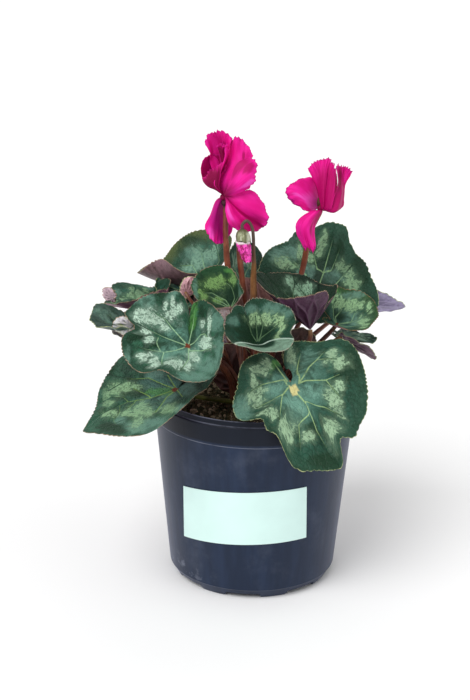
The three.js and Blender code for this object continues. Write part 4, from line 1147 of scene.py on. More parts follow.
# Young leaves among the stalks, most of them upright with their backs to the front, and two
# turned-up lobes without stalks of their own. The dark browns of most of them are painted shade.
YOUNG = [
    Leaf("young_left", at=(-12, 7, 134), aim=(180, 68, 90), size=(30, 0.45, 0.3), gap=12, cup=(12, 10),
         crown=(9, 155), reach=(3, 3, 60), seed=1.1, under="4A2A24", under_dark="2A1512"),
    Leaf("young_middle", at=(-1, 10.5, 134), aim=(180, 88, 90), size=(29, 0.36, 0.25), gap=12, cup=(12, 10),
         crown=(10, 95), reach=(3, 3, 60), seed=2.3, under="43281F", under_dark="24120E"),
    Leaf("young_right", at=(11, 3, 134), aim=(0, 66, -90), size=(29, 0.4, 0.3), gap=12, cup=(12, 10),
         crown=(10, 18), reach=(3, 3, 60), seed=3.7, under="3F241C", under_dark="22100C"),
    Leaf("young_outer", at=(25, -8, 160), aim=(0, 52, -90), size=(22, 0.42, 0.3), gap=12, cup=(14, 10),
         crown=(12, -28), reach=(14, 8, 60), seed=4.4, under="3A2018", under_dark="1C0D0A"),
    Leaf("young_tall", at=(-3, 13, 176), aim=(180, 84, 90), size=(33, 0.34, 0.28), gap=12, cup=(10, 12),
         crown=(12, 92), reach=(20, 12, 80), seed=5.2, margin=TAN, under="7A5450", under_dark="4A3826"),
    Leaf("young_back", at=(-42, 20, 186), aim=(170, 80, 90), size=(19, 0.62, 0.4), gap=12, cup=(10, 12),
         crown=(14, 146), reach=(25, 12, 80), seed=7.9, under="3A2228", under_dark="1C0E12"),
    Leaf("folded_low", at=(-84, -30, 188), aim=(185, -14, 74), size=(12, 0.5, 0.34), gap=12, cup=(8, 8),
         seed=3.3, margin=TAN, under="BDB6C0", under_dark="A0A878"),
    Leaf("folded_tip", at=(-98, -4, 200), aim=(160, 16, 72), size=(8.5, 0.62, 0.4), gap=12, cup=(8, 8),
         seed=8.4, margin=TAN, under="9C848E", under_dark="6E5A64"),
    Leaf("young_pink", at=(-48, -3, 203.5), aim=(20, 48, -75), size=(12, 0.48, 0.35), gap=12, cup=(8, 8),
         crown=(14, 160), reach=(40, 12, 70), seed=5.6, margin=CREAM, under="B98F95", under_dark="8C6068"),
    Leaf("young_far", at=(-50, 24, 197), aim=(174, 6, -32), size=(21, 0.52, 0.35), gap=12, cup=(10, 8),
         crown=(13, 150), reach=(25, 12, 80), seed=2.2, amount=0.3),
    Leaf("young_pale", at=(-15, -6, 182), aim=(170, 66, 90), size=(14, 0.75, 0.5), gap=12, cup=(10, 12),
         crown=(8, -140), reach=(20, 12, 80), seed=6.9, margin=TAN, under="E2C2C2", under_dark="B58884"),
]


# The shares of the reach at which a blade has rings of points
BLADE_SHARES = np.array([
    0.02, 0.06, 0.11, 0.17, 0.24, 0.31, 0.38, 0.45, 0.52, 0.59, 0.66, 0.73, 0.79, 0.85, 0.9, 0.945, 0.975,
    0.992, 1,
])


def both(values):
    """The values of a sheet's front, and again for its back."""
    return np.concatenate([values, values])


def vein_field(x, y, reach, veins):
    """The same distance as in the leaf materials, in millimetres, for the relief of the mesh."""
    if veins:
        nearest = np.full(x.shape, FAR)
        for (x0, y0), (x1, y1) in line_parts(veins):
            run, rise = x1 - x0, y1 - y0
            along = np.clip(((x - x0) * run + (y - y0) * rise) / (run * run + rise * rise + 1e-9), 0, 1)
            nearest = np.minimum(nearest, np.hypot(x - x0 - along * run, y - y0 - along * rise))
        return nearest * reach
    radius = np.hypot(x, y)
    turn = np.arctan2(y, x) / math.radians(VEIN_SPACING)
    off = np.abs((turn + VEIN_PHASE) % 1 - 0.5)
    arc = radius * math.radians(VEIN_SPACING) * reach
    t = np.clip((radius - FORK_START) / (FORK_END - FORK_START), 0, 1)
    spread = 0.5 * t * t * (3 - 2 * t)
    main = off * arc + FAR_FROM_VEIN * ((np.abs(turn) > 0.5) & (radius > FORK_START))
    return np.minimum(np.abs(off - spread) * arc, main)


def add_blade(leaf, leaves):
    """A quilted blade with small rounded teeth, thinner towards its margin."""
    right, left = (180 - half for half in leaf.slit)
    coarse = np.linspace(right, -left, 200)
    around = np.radians(right + left) * leaf.shown_outline(coarse).mean()
    teeth = max(24, round(around / (leaves.tooth_pitch / MM)))
    columns = teeth * leaves.columns_per_tooth + 1
    shares = BLADE_SHARES
    if leaf.marks:
        shares = np.sort(np.append(shares, (shares[1:] + shares[:-1]) / 2))
    across_share, share = np.meshgrid(np.linspace(0, 1, columns), shares)
    opening = np.exp(-((share / HOLE_REACH) ** 2))
    first, last = right - leaf.hole[0] * opening, left - leaf.hole[1] * opening
    angle = first * (1 - across_share) - last * across_share
    plain = leaf.shown_outline(angle)
    phase = across_share * teeth
    wander = 0.35 * np.sin(phase * 0.37 + leaf.seed) + 0.3 * np.sin(phase * 0.91 + 2 * leaf.seed)
    tooth = np.abs(np.sin(math.pi * (phase + wander))) ** 0.8 - 0.6
    tooth = tooth * (0.75 + 0.45 * np.sin(phase * 0.59 + 3 * leaf.seed))
    rows = leaf.surface(angle, share, plain + leaves.tooth_depth / MM * tooth * share**30)

    turn = np.radians(angle)
    x, y = share * np.cos(turn), share * np.sin(turn)
    calm = np.clip(share * 3, 0, 1)
    if not leaf.marks:
        warp_x = 0.035 * np.sin(5 * y + leaf.seed) + 0.02 * np.sin(11 * x + 3 * leaf.seed)
        warp_y = 0.045 * np.sin(4 * x + 2 * leaf.seed) + 0.02 * np.sin(13 * y + leaf.seed)
        x, y = x + warp_x * calm, y + warp_y * calm
    nearest = vein_field(x, y, plain, leaf.veins)

    normals = unit(np.cross(np.gradient(rows, axis=1), np.gradient(rows, axis=0)))
    quilt = leaves.quilting / MM * (np.exp(-((nearest / 2.2) ** 2)) * -1 + 0.4) * calm
    wave = leaves.undulation / MM * share**4
    wave = wave * (np.sin(5 * turn + leaf.seed) + 0.45 * np.sin(11 * turn + 2 * leaf.seed))
    rows = rows + normals * (quilt + wave)[..., None]
    points, faces, kinds = sheet(rows, leaves.thickness / MM * (1 - 0.5 * share**2), leaf.at)
    attributes = {
        "disc": np.append(np.stack([x, y, share], -1).reshape(-1, 3), [[0, 0, 0]], 0),
        "reach": np.append(plain, leaf.size[0]),
        "vein": np.append(nearest, 0),
    }
    for kind, ellipses in leaf.marks.items():
        attributes[kind] = np.append(patch_field(x, y, ellipses), patch_field(0, 0, ellipses))
    return add_piece(
        f"blade_{leaf.name}", points, faces,
        [leaf_upper_material(leaf, leaves), leaf_under_material(leaf, leaves)],
        [] if leaf in YOUNG else [f"leaf_{leaf.name}_blade"],
        {key: both(values) for key, values in attributes.items()}, kinds,
    )


# Flowers

# Each petal's ribs run from its root, as points in millimetres from the bloom's own place
# Petal patches: deep and shade are painted shade, pale and edge painted highlights, cool partly painted
# shade
LEFT_PETALS = [
    # Upper left, curled back
    {"root": (0.5, 1, 1.5), "frill": 1.2,
     "deep": [(0.45, 0.62, 0.3, 0.16, 0), (0.2, 0.2, 1.2, 0.22, 0)],
     "ribs": [
         [(-4, 2, 9.5), (-9, 5, 21.5), (-9, 3, 28.5), (-15, 0, 39)],
         [(-1.5, 6, 13.5), (-5.5, 8, 27), (-7.5, 7, 35.5), (-9.5, 4, 42)],
         [(0, 9, 15.5), (-2, 11, 27), (-2.5, 9, 36), (-6, 5, 44)],
         [(1.5, 9, 15.5), (1, 10, 27.5), (1, 8, 35.5), (1.5, 6, 43)],
         [(2.5, 7, 14.5), (3, 5, 26.5), (3.5, 1, 34.5), (6.5, 4, 40)],
     ]},
    # The curl within it
    {"root": (0.5, 2, 6), "frill": 2.6, "shade": [(-0.2, 0.6, 0.8, 0.32, 0)],
     "ribs": [
         [(-1, 4, 16), (-2.5, 4, 26), (-4, 2, 32), (-5, 1, 35)],
         [(1, 2, 17), (-0.5, 1, 27), (-1.5, 0, 32), (-1, -1, 36)],
         [(2, 4, 17), (2, 3, 27), (1.5, 1, 32), (2, 1, 35)],
     ]},
    # Left, its inner face
    {"root": (0.5, 1, 1.5), "frill": 0.4, "deep": [(0, 0.5, 1.5, 0.6, 0)],
     "shade": [(0.2, 0.3, 1.2, 0.3, 0)],
     "ribs": [
         [(-5, 0, 5), (-12.5, -1, 10), (-15, -1, 18), (-14, 1, 24.5)],
         [(-4, 4, 5.5), (-9.5, 5, 13.5), (-11.5, 5, 21.5), (-11.5, 4, 27)],
         [(-2.5, 7, 6), (-6, 8, 15.5), (-7, 8, 23), (-8, 6, 28)],
         [(-1, 8, 8.5), (-2.5, 9, 16.5), (-3, 8, 23.5), (-3.5, 6, 28)],
         [(0, 7, 10), (0.5, 7, 18.5), (0.5, 6, 25), (0, 4, 29.5)],
     ]},
    # Left, folded over in front
    {"root": (-1, -2, 2.5), "frill": 1.1, "shade": [(-0.1, 0.45, 1.4, 0.62, 0)],
     "edge": [(0.97, 0.55, 0.05, 0.5, 0)],
     "ribs": [
         [(-5.5, -3, 5.5), (-10, -4, 7.5), (-13, -4, 10.5), (-14, -3, 13)],
         [(-5, -5, 6.5), (-8.5, -7, 11.5), (-10.5, -7, 14.5), (-11.5, -6, 16)],
         [(-4.5, -6, 7.5), (-7, -8, 13.5), (-8, -8, 17.5), (-8.5, -7, 20)],
         [(-4, -6, 8), (-4.5, -8, 14.5), (-4.5, -8, 18.5), (-4.5, -6, 22)],
         [(-3, -5, 8.5), (-2, -6, 15.5), (-1, -6, 21.5), (0.5, -4, 26)],
     ]},
    # The wide fan
    {"root": (0, -2, 1.5), "frill": 1.1,
     "shade": [(-0.74, 0.46, 0.14, 0.34, 0)], "deep": [(0.55, 0.72, 0.1, 0.12, 30)],
     "edge": [(-0.98, 0.6, 0.05, 0.35, 0)],
     "ribs": [
         [(-6, -8, 10.5), (-1.5, -6, 20.5), (1, -3, 28.5), (0.5, 0, 36)],
         [(-3, 0, 11), (1.5, 4, 19.5), (4, 5, 27), (4, 4, 37.5)],
         [(2, -4, 12), (6.5, -1, 23), (7.5, 1, 31), (8, 2, 41.5)],
         [(6, -6, 13.5), (11.5, -3, 22.5), (13, 0, 29.5), (14, 2, 38)],
         [(8, -6, 12.5), (14, -3, 20.5), (18, 0, 25), (20.5, 1, 29)],
     ]},
    # Swept to the right
    {"root": (0.5, -5, 2), "frill": 0.9,
     "deep": [(-0.9, 0.6, 0.34, 0.3, 0), (-0.45, 0.7, 0.26, 0.2, 0)],
     "pale": [(0.4, 0.66, 0.24, 0.3, 0)],
     "ribs": [
         [(4, -9, 12), (8.5, -8, 23.5), (14, -6, 27), (19.5, -4, 28.5)],
         [(7.5, -11, 11.5), (13, -11, 19.5), (17.5, -9, 23.5), (22, -6, 25)],
         [(9, -12, 9.5), (15.5, -13, 15), (19, -11, 17), (22, -8, 16.5)],
         [(9, -11, 7), (15, -12, 10), (18, -11, 11.5), (20.5, -9, 12)],
         [(7, -8, 3.5), (12, -9, 5.5), (15.5, -9, 7), (18, -8, 8)],
     ]},
    # Hanging to the right
    {"root": (1, -4, 2), "frill": 1.2,
     "deep": [(0.35, 0.82, 0.5, 0.2, 0), (0.1, 0.55, 0.08, 0.4, 0)],
     "pale": [(0.8, 0.5, 0.12, 0.2, 0)],
     "ribs": [
         [(5, -3, 2.5), (9.5, -4, 4), (14.5, -4, 5.5), (19, -3, 6.5)],
         [(7, -5, 1), (13.5, -7, 1), (20.5, -7, -0.5), (27.5, -5, -2)],
         [(7, -6, -1.5), (14.5, -8, -5.5), (23, -8, -9.5), (31, -5, -14)],
         [(5.5, -4, -3.5), (11, -4, -10), (19.5, -3, -17), (26, -2, -22)],
         [(4, -6, -3), (7, -8, -10.5), (12.5, -9, -17), (16.5, -8, -22)],
         [(2, -4, -3), (1.5, -5, -8), (3.5, -6, -16.5), (8, -6, -21.5)],
     ]},
    # Hanging to the left, behind the stalk
    {"root": (0, 2, 0.5), "frill": 1.0, "cool": [(0.1, 0.36, 1.2, 0.42, 0), (0.45, 0.8, 0.35, 0.4, 0)],
     "pale": [(-0.45, 0.84, 0.3, 0.16, 0)],
     "ribs": [
         [(-5, 1, -3), (-8.5, 2, -12.5), (-12, 1, -19), (-11.5, 0, -24)],
         [(-4, -2, -6.5), (-6.5, -2, -15), (-8.5, -2, -22.5), (-9, -2, -28)],
         [(-2.5, 1, -9.5), (-3.5, 1, -18), (-4.5, 0, -26), (-4.5, -1, -32.5)],
         [(0, 5, -10.5), (0.5, 6, -19), (0.5, 5, -26.5), (0, 3, -33)],
         [(2, 7, -10), (3.5, 8, -17), (6.5, 8, -22.5), (5.5, 7, -28)],
     ]},
]
RIGHT_PETALS = [
    # The big middle petal
    {"root": (1, -2, -0.5), "frill": 1.3,
     "shade": [(-0.95, 0.35, 0.12, 0.3, 0)],
     "deep": [(0.1, 0.42, 1.2, 0.46, 0)],
     "ribs": [
         [(0, -2, 3), (-3, -1, 14), (-6.5, 0, 22), (-10, 1, 28)],
         [(1, -5, 4), (-1, -5, 15), (-2.5, -3, 25), (-6, -1, 33)],
         [(1.5, -7, 3.5), (1, -8, 15.5), (1, -6, 26.5), (1.5, -2, 36)],
         [(2.5, -6, 3), (3, -7, 16), (4, -5, 27.5), (8, 0, 35.5)],
     ]},
    # The fold beside the slit
    {"root": (2, -2, -1), "frill": 1.0,
     "shade": [(0.85, 0.8, 0.24, 0.2, 0)], "deep": [(-0.2, 0.5, 1.3, 0.46, 0)],
     "cool": [(0.2, 0.12, 1, 0.14, 0)],
     "ribs": [
         [(1.5, -4, 2), (1.5, -5, 13.5), (2.5, -3, 24), (5, 0, 33.5)],
         [(4, -8, 2), (5, -9, 12.5), (6, -7, 23.5), (7.5, -4, 33)],
         [(6.5, -9, 1.5), (8.5, -10, 10), (10.5, -8, 18), (9, -3, 28)],
     ]},
    # Right of the slit
    {"root": (2.5, -1, -1), "frill": 1.0,
     "shade": [(-0.6, 0.8, 0.3, 0.2, 0)], "cool": [(0, 0.14, 1.2, 0.14, 0)],
     "deep": [(-0.1, 0.5, 1.1, 0.46, 0)],
     "edge": [(0.55, 0.85, 0.3, 0.1, 0)],
     "ribs": [
         [(4.5, -7, 1), (7, -8, 10), (11, -6, 18.5), (9.5, 3, 33)],
         [(9.5, -9, 0), (13, -6, 10.5), (13.5, 1, 20), (13.5, 4, 30)],
         [(12.5, -3, 0), (15, 1, 9), (15.5, 4, 19.5), (19, 3, 29)],
         [(14.5, 0, 1), (16, 3, 7.5), (17, 5, 16), (22, 2, 25.5)],
     ]},
    # The fan to the left
    {"root": (1, 10, -0.5), "frill": 1.1,
     "pale": [(0.3, 0.36, 0.9, 0.24, 0), (0.2, 0.66, 0.12, 0.2, 0)],
     "cool": [(0.6, 0.98, 0.5, 0.05, 0)],
     "ribs": [
         [(-0.5, 9, 5), (-2.5, 6, 13), (-5, 3, 20), (-9, 2, 22)],
         [(-2, 7, 3.5), (-6.5, 2, 10.5), (-12, -1, 17.5), (-17, -2, 20)],
         [(-3, 6, 1.5), (-10, -1, 7.5), (-17.5, -4, 13), (-25, -4, 13.5)],
         [(-3.5, 6, 0), (-8.5, 0, 3), (-14.5, -3, 6.5), (-20.5, -4, 4.5)],
         [(-3.5, 6, -2.5), (-5.5, 2, -2.5), (-8.5, -1, -2), (-12.5, -2, 0.5)],
     ]},
    # Hanging, with a ruffled end
    {"root": (0, -3, -0.5), "frill": 1.7, "lobes": (5, 0.09),
     "deep": [(0.85, 0.3, 0.5, 0.3, 0), (0.1, 0.1, 1.2, 0.16, 0), (0.6, 0.66, 0.12, 0.2, 0)],
     "ribs": [
         [(-6.5, -4, -1), (-15, -6, -6.5), (-16.5, -6, -14), (-11, -5, -28)],
         [(-4, -7, -0.5), (-11, -10, -7), (-12.5, -10, -15), (-8, -7, -28.5)],
         [(-2, -7, -0.5), (-7.5, -10, -8), (-8.5, -11, -16), (-4.5, -8, -30.5)],
         [(1, -3, -1.5), (-2.5, -4, -8.5), (-3.5, -5, -16), (-0.5, -5, -28.5)],
     ]},
]

BLOOMS = [
    {
        "name": "left", "at": (-23, -4, 270), "petals": LEFT_PETALS,
        "calyx": {"at": (-22, -4, 264), "towards": (-0.1, 0, 1), "height": 5, "radius": 1.9},
        "sepals": (rgb("2C1218"), rgb("4A1428")),
        "scape": [(6, 130), (-18, 5, 210), (-21, -1, 240)], "approach": 7,
    },
    {
        "name": "right", "at": (43, 14, 259), "petals": RIGHT_PETALS,
        "calyx": {"at": (43, 19, 258), "towards": (0, -0.1, 1), "height": 10, "radius": 2.4},
        "scape": [(6, 20), (30.5, 26, 205), (36, 21, 238)], "approach": 3,
    },
]
SPENT = {
    "name": "spent",
    "calyx": {"at": (-10, 7, 256), "towards": (0, 0.2, 1), "height": 6, "radius": 3},
    "scape": [(7, 75), (-9, 9, 206), (-12, 8, 236)], "approach": 7,
}
BUD_AT = (-10, -20, 244)
BUD = {
    "calyx": {"at": (BUD_AT[0], BUD_AT[1], BUD_AT[2] + BUD_CALYX), "towards": (0, 0, -1)},
    "scape": [
        (7, -60), (-1.5, -5, 200), (-2, -14, 230), (-2.8, -19.5, 248), (-4.2, -20, 254.5),
        (-7.2, -20, 257.5),
    ],
    "approach": 3,
}

# The calyx's radius at heights over the bud's petals, as (height, radius), and how far its lower
# edge stands off to the right
BUD_CALYX_PROFILE = [(0, 4.9), (1.5, 5), (3, 4.9), (4.5, 4.5), (6, 3.8), (7.2, 2.7), (8, 1.3)]
BUD_CALYX_SHIFT = 0.9

# The ball in which a bloom's petals meet
THROAT_RADIUS = 2.2
THROAT_PROFILE = [
    (max(0.01, THROAT_RADIUS * math.cos(math.radians(a))), THROAT_RADIUS * math.sin(math.radians(a)))
    for a in range(-90, 91, 15)
]


def petal_rows(petal, along, across, flowers, seed):
    """Points of a petal's middle surface, with its pleats and frilled far edge.

    Both shares run from 0 to 1: along the ribs from the root, and across from the first rib to the
    last.
    """
    ribs = np.stack([catmull_rom([petal["root"], *rib], along) for rib in petal["ribs"]])
    points = catmull_rom_between(ribs, across)
    facing = unit(np.cross(np.gradient(points, axis=1), np.gradient(points, axis=0)))
    width = 2 * across - 1
    arch = np.sin(math.pi * np.clip(along, 0, 1)) ** 0.5
    pleat = flowers.pleat / MM * np.sin(15 * width + seed) * arch
    broad = along**7 * np.sin(8 * width + 2 * seed)
    fine = 0.75 * along**9 * np.sin(23 * width + seed + np.sin(4 * width))
    frill = petal["frill"] * flowers.frill / MM * (broad + fine)
    return points + facing * (pleat + frill)[..., None]


def petal_mesh(petal, flowers, seed):
    """One petal's points, faces and attributes."""
    along, across = np.meshgrid(np.linspace(0.03, 1, 34), np.linspace(0, 1, 73), indexing="ij")
    width = 2 * across - 1
    teeth = np.abs(np.sin(width * 13 + seed + np.sin(width * 5))) ** 0.7
    teeth = teeth + 0.6 * np.abs(np.sin(width * 41 + seed))
    count, depth = petal.get("lobes", (1, 0))
    lobes = np.abs(np.sin(math.pi * count * across)) ** 0.6
    end = 1 - flowers.tooth_depth * teeth - 0.06 * width**8 - depth * (1 - lobes)
    nibble = 1 - 0.015 * np.abs(np.sin(along * 30 + seed)) * np.clip((along - 0.4) * 3, 0, 1)
    rows = petal_rows(petal, along * end, 0.5 + 0.5 * width * nibble, flowers, seed)
    thickness = flowers.thickness / MM * (1 - 0.5 * along)
    points, faces, _ = sheet(rows, thickness, np.array(petal["root"], float))
    places = np.stack([width, along, np.full_like(along, seed)], -1).reshape(-1, 3)
    values = {"petal": both(np.append(places, [[0, 0, seed]], 0))}
    for kind in PETAL_TONES:
        values[kind] = both(np.append(patch_field(width, along, petal.get(kind, ())), FAR))
    return points, faces, values


def add_bloom(bloom, flowers):
    """A bloom's petals in one piece, joined at a small throat."""
    parts, values = [], []
    for number, petal in enumerate(bloom["petals"]):
        *part, own = petal_mesh(petal, flowers, 1.3 + 2.1 * number)
        parts.append(part)
        values.append(own)
    throat = lathe(THROAT_PROFILE, np.linspace(0, 360, 24, endpoint=False))
    count = len(throat[0])
    parts.append(throat)
    values.append({kind: np.full(count, FAR) for kind in PETAL_TONES})
    values[-1]["petal"] = np.tile([0, 0, 0.5], (count, 1))
    attributes = {key: np.concatenate([own[key] for own in values]) for key in values[-1]}
    points, faces = joined(parts)
    name = f"petals_{bloom['name']}"
    return add_piece(
        name, points + np.array(bloom["at"]), faces, [petal_material(name, flowers)],
        [f"bloom_{bloom['name']}_petals"], attributes,
    )


def turned_towards(points, at, towards):
    """Points made about +Z, turned to a direction and put in place."""
    turn = Vector((0, 0, 1)).rotation_difference(Vector(towards)).to_matrix()
    return points @ np.array(turn).T + np.array(at)


def add_calyx(name, node, calyx, material):
    """A cup of five pointed sepals at the end of a flower stalk."""
    height, widest = calyx["height"], calyx["radius"]
    share, angle = ring_grid(14, 50)
    lobes = np.cos(np.radians(angle * 5))
    body = widest * (0.62 + 0.38 * np.sin(math.pi * np.clip(share * 1.15, 0, 1)))
    radius = body * (1 - 0.5 * share**4) * (1 + 0.06 * lobes)
    rise = height * share * (1 - 0.22 * (1 - lobes) / 2 * share)
    points, faces = capped(polar(radius, angle, rise), (0, 0, 0), (0, 0, height * 0.7))
    points = turned_towards(points, calyx["at"], calyx["towards"])
    return add_piece(
        name, points, faces, [material], [node], {"along": np.append(share, [0, 1])},
    )


def scape_path(flower, radius, steps=90):
    """A flower stalk's path, from the tuber through the places listed and straight into the calyx."""
    crown, *through = flower["scape"]
    root = crown_point(crown, radius)
    axis = unit(np.array(flower["calyx"]["towards"], float))
    seat = np.array(flower["calyx"]["at"], float)
    last = seat - axis * flower["approach"]
    knots = [root, root + (0, 0, 12), *np.array(through, float), last, seat + axis * 0.2]
    return catmull_rom(knots, np.linspace(0, 1, steps))


def add_stalk(name, node, path, radius, material, top=0.88, neck=None):
    """A tube that is thicker at its root, and thinner at its top by the share given.

    neck is the share of its length from which it gets thin, where it isn't thinner all the way up.
    """
    share = np.linspace(0, 1, len(path))
    thin = share**3
    if neck:
        rise = np.clip((share - neck) / (NECK_END - neck), 0, 1)
        thin = rise * rise * (3 - 2 * rise)
    radii = radius * (1 + 0.25 * np.exp(-share * 22) - (1 - top) * thin)
    radii = radii * (1 + 0.03 * np.sin(share * 23 + radius) + 0.02 * np.sin(share * 57))
    points, faces = tube(path, radii, STALK_SIDES)
    along = np.append(np.repeat(share, STALK_SIDES), [0, 1])
    return add_piece(
        name, points, faces, [material], [node] if node else [], {"along": along},
    )


def add_bud(flowers):
    """Furled crinkled petals that hang from the bud's calyx."""
    share, angle = ring_grid(34, 60)
    turn = np.radians(angle)
    ridge = 0.5 * np.cos(5 * turn + 2 * share) * np.sin(math.pi * share) ** 0.5
    ridge = ridge + 0.22 * np.sin(11 * turn + 13 * share) + 0.2 * np.sin(37 * share + 4 * turn)
    radius = BUD_RADIUS * (1.26 - 0.6 * share**1.2) + ridge
    fringe = 1.4 * np.abs(np.sin(4.5 * turn)) * np.clip((share - 0.85) / 0.15, 0, 1)
    rows = polar(radius, angle + BUD_TWIST * share, -BUD_LENGTH * share + fringe)
    rows[..., 0] += BUD_LEAN * share
    points, faces = capped(rows, (0, 0, 0), (BUD_LEAN, 0, -BUD_LENGTH * 0.86))
    return add_piece(
        "bud_furl", points + np.array(BUD_AT), [face[::-1] for face in faces], [bud_material(flowers)],
        ["bud_petals"], {"along": np.append(share, [0, 1])},
    )


def add_bud_calyx(material):
    """Five sepals close over the bud's wide end."""
    share, angle = ring_grid(26, 60)
    turn = np.radians(angle)
    height = SEAT_GAP + (BUD_CALYX - SEAT_GAP) * share
    body = np.interp(height, *np.array(BUD_CALYX_PROFILE).T)
    radius = body + 0.14 * np.abs(np.cos(2.5 * turn)) - 0.07
    tip = 1.5 * np.cos(2.5 * turn) ** 2 * (1 - share) ** 3
    rows = polar(radius, angle, height - tip + 0.7 * (1 - share) ** 3)
    rows[..., 0] += BUD_CALYX_SHIFT * (1 - share) ** 1.5
    points, faces = capped(rows, (0, 0, 1.2), (0, 0, BUD_CALYX))
    return add_piece(
        "bud_sepals", points + np.array(BUD_AT), faces, [material], ["bud_calyx"],
        {"along": np.append(share, [0, 1])},
    )


# Pot, label, soil and tuber

def wall_radius(z, rim):
    share = (z - SKIRT_HEIGHT) / (COLLAR_BOTTOM - SKIRT_HEIGHT)
    return SKIRT_RADIUS + (rim - COLLAR_STEP - SKIRT_RADIUS) * share


def pot_profile(height, rim):
    """The pot's shell as (radius, height), out along its underside, up its outside and down inside."""
    floor = FLOOR_UNDERSIDE + WALL
    *corners, radii = zip(
        (0.01, FLOOR_UNDERSIDE, 0),
        (FOOT_RADIUS - 4, FLOOR_UNDERSIDE, 0.5),
        (FOOT_RADIUS - 2.2, 0, 0.3),
        (FOOT_RADIUS, 0, 0.6),
        (SKIRT_RADIUS - 0.7, SKIRT_HEIGHT - 0.5, 0.5),
        (SKIRT_RADIUS, SKIRT_HEIGHT, 0.8),
        (wall_radius(COLLAR_BOTTOM, rim), COLLAR_BOTTOM, 0.3),
        (rim - 0.3, COLLAR_BOTTOM + 0.9, 0.5),
        (rim, COLLAR_TOP - 0.8, 0.8),
        (rim - LIP_INSET, COLLAR_TOP, 0.4),
        (rim - LIP_INSET - 0.3, height, 0.5),
        (rim - LIP_INSET - WALL, height, 0.5),
        (wall_radius(COLLAR_BOTTOM, rim) - WALL, COLLAR_BOTTOM, 1),
        (wall_radius(floor + 3, rim) - WALL, floor + 3, 2),
        (wall_radius(floor, rim) - WALL - 3, floor, 2),
        (0.01, floor, 0),
    )
    return rounded(list(zip(*corners)), radii)


def notch_angles():
    """Columns round the pot, close together at the ends of each notch."""
    inside = list(np.linspace(0.4 - NOTCH_HALF, NOTCH_HALF - 0.4, 10))
    outside = list(np.linspace(NOTCH_HALF + 1.6, NOTCH_PERIOD - NOTCH_HALF - 1.6, 9))
    offsets = inside + [NOTCH_HALF + 0.4] + outside + [NOTCH_PERIOD - NOTCH_HALF - 0.4]
    starts = (FRONT_NOTCH_ANGLE + NOTCH_PERIOD * n for n in range(NOTCHES))
    return np.array([start + offset for start in starts for offset in offsets])


def add_pot(pot):
    """The pot's shell with rounded edges, notches in its base ring and a drain hole behind each."""
    profile = np.array(pot_profile(pot.height / MM, pot.rim_radius / MM))
    angles = notch_angles()
    points, faces = lathe(profile, angles)
    off = np.abs((angles - FRONT_NOTCH_ANGLE + NOTCH_PERIOD / 2) % NOTCH_PERIOD - NOTCH_PERIOD / 2)
    lift = NOTCH_HEIGHT * np.clip((NOTCH_HALF + 1 - off) / 1.4, 0, 1)
    grid = points.reshape(len(profile), len(angles), 3)
    outer_slope = (SKIRT_RADIUS - 0.7 - FOOT_RADIUS) / (SKIRT_HEIGHT - 0.5)
    for row, (radius, z) in enumerate(profile):
        if z >= NOTCH_HEIGHT or radius < FOOT_RADIUS - 5:
            continue
        raised = np.maximum(z, lift)
        slope = -1.8 / FLOOR_UNDERSIDE if radius < FOOT_RADIUS - 1.1 else outer_slope
        grid[row] = polar(radius + slope * (raised - z), angles, raised)
    shell = add_piece(
        "pot_shell", points, faces, [pot_material(pot)], ["pot"], sharp=50,
    )
    cut_drains(shell)
    return shell


def cut_drains(shell):
    """Cuts the drain holes through the pot's floor."""
    middle, half = (FOOT_RADIUS - 11, 0, FLOOR_UNDERSIDE + WALL / 2), (4.5, NOTCH_WIDTH / 4, 1.5 * WALL)
    around = ((-1, -1), (1, -1), (1, 1), (-1, 1))
    corners = np.array([(x, y, z) for z in (-1, 1) for x, y in around]) * half + middle
    sides = [(0, 1, 5, 4), (1, 2, 6, 5), (2, 3, 7, 6), (3, 0, 4, 7)]
    boxes = []
    for n in range(NOTCHES):
        turn = Matrix.Rotation(math.radians(FRONT_NOTCH_ANGLE + NOTCH_PERIOD * n), 3, "Z")
        boxes.append((corners @ np.array(turn).T, [(3, 2, 1, 0), (4, 5, 6, 7), *sides]))
    cutter = add_mesh("drain_cutter", *joined(boxes))
    cut = shell.modifiers.new("drains", "BOOLEAN")
    cut.operation = "DIFFERENCE"
    cut.solver = "EXACT"
    cut.object = cutter
    bpy.context.view_layer.update()
    graph = bpy.context.evaluated_depsgraph_get()
    result = bpy.data.meshes.new_from_object(shell.evaluated_get(graph))
    shell.modifiers.clear()
    shell.data = result
    bpy.data.objects.remove(cutter)


def add_label(pot):
    """A thin curved paper rectangle that follows the wall."""
    rim = pot.rim_radius / MM
    low, high = pot.label_bottom / MM, pot.label_top / MM
    columns, rows = 73, 33
    u, v = np.meshgrid(np.linspace(-0.5, 0.5, columns), np.linspace(0, 1, rows))
    z = low + (high - low) * v + LABEL_TILT * u + LABEL_BOW * (1 - 4 * u * u)
    radius = wall_radius(z, rim) + SEAT_GAP
    across = pot.label_width / MM * u * (1.03 - 0.02 * v)
    angle = LABEL_MIDDLE_ANGLE + LABEL_TURN + np.degrees(across / wall_radius(z, rim))
    front = polar(radius + pot.label_thickness / MM, angle, z).reshape(-1, 3)
    back = polar(radius, angle, z).reshape(-1, 3)
    edge = [r * columns for r in range(1, rows - 1)]
    edge += [(rows - 1) * columns + c for c in range(columns - 1)]
    edge += [r * columns + columns - 1 for r in range(rows - 1, 0, -1)]
    edge += range(columns - 1, -1, -1)
    faces = two_sided(grid_faces(rows, columns), columns * rows, edge)
    return add_piece(
        "paper_label", np.concatenate([front, back]), faces, [label_material(pot)],
        ["label"], sharp=40,
    )


def soil_lump(x, y):
    wave = (
        np.sin(x * 0.31 + 1.2) * np.cos(y * 0.27 - 0.6)
        + 0.6 * np.sin(0.53 * (x - y) + 2.1)
        + 0.5 * np.cos(0.41 * (x + 1.7 * y))
    )
    return SOIL_LUMP * 0.5 * wave


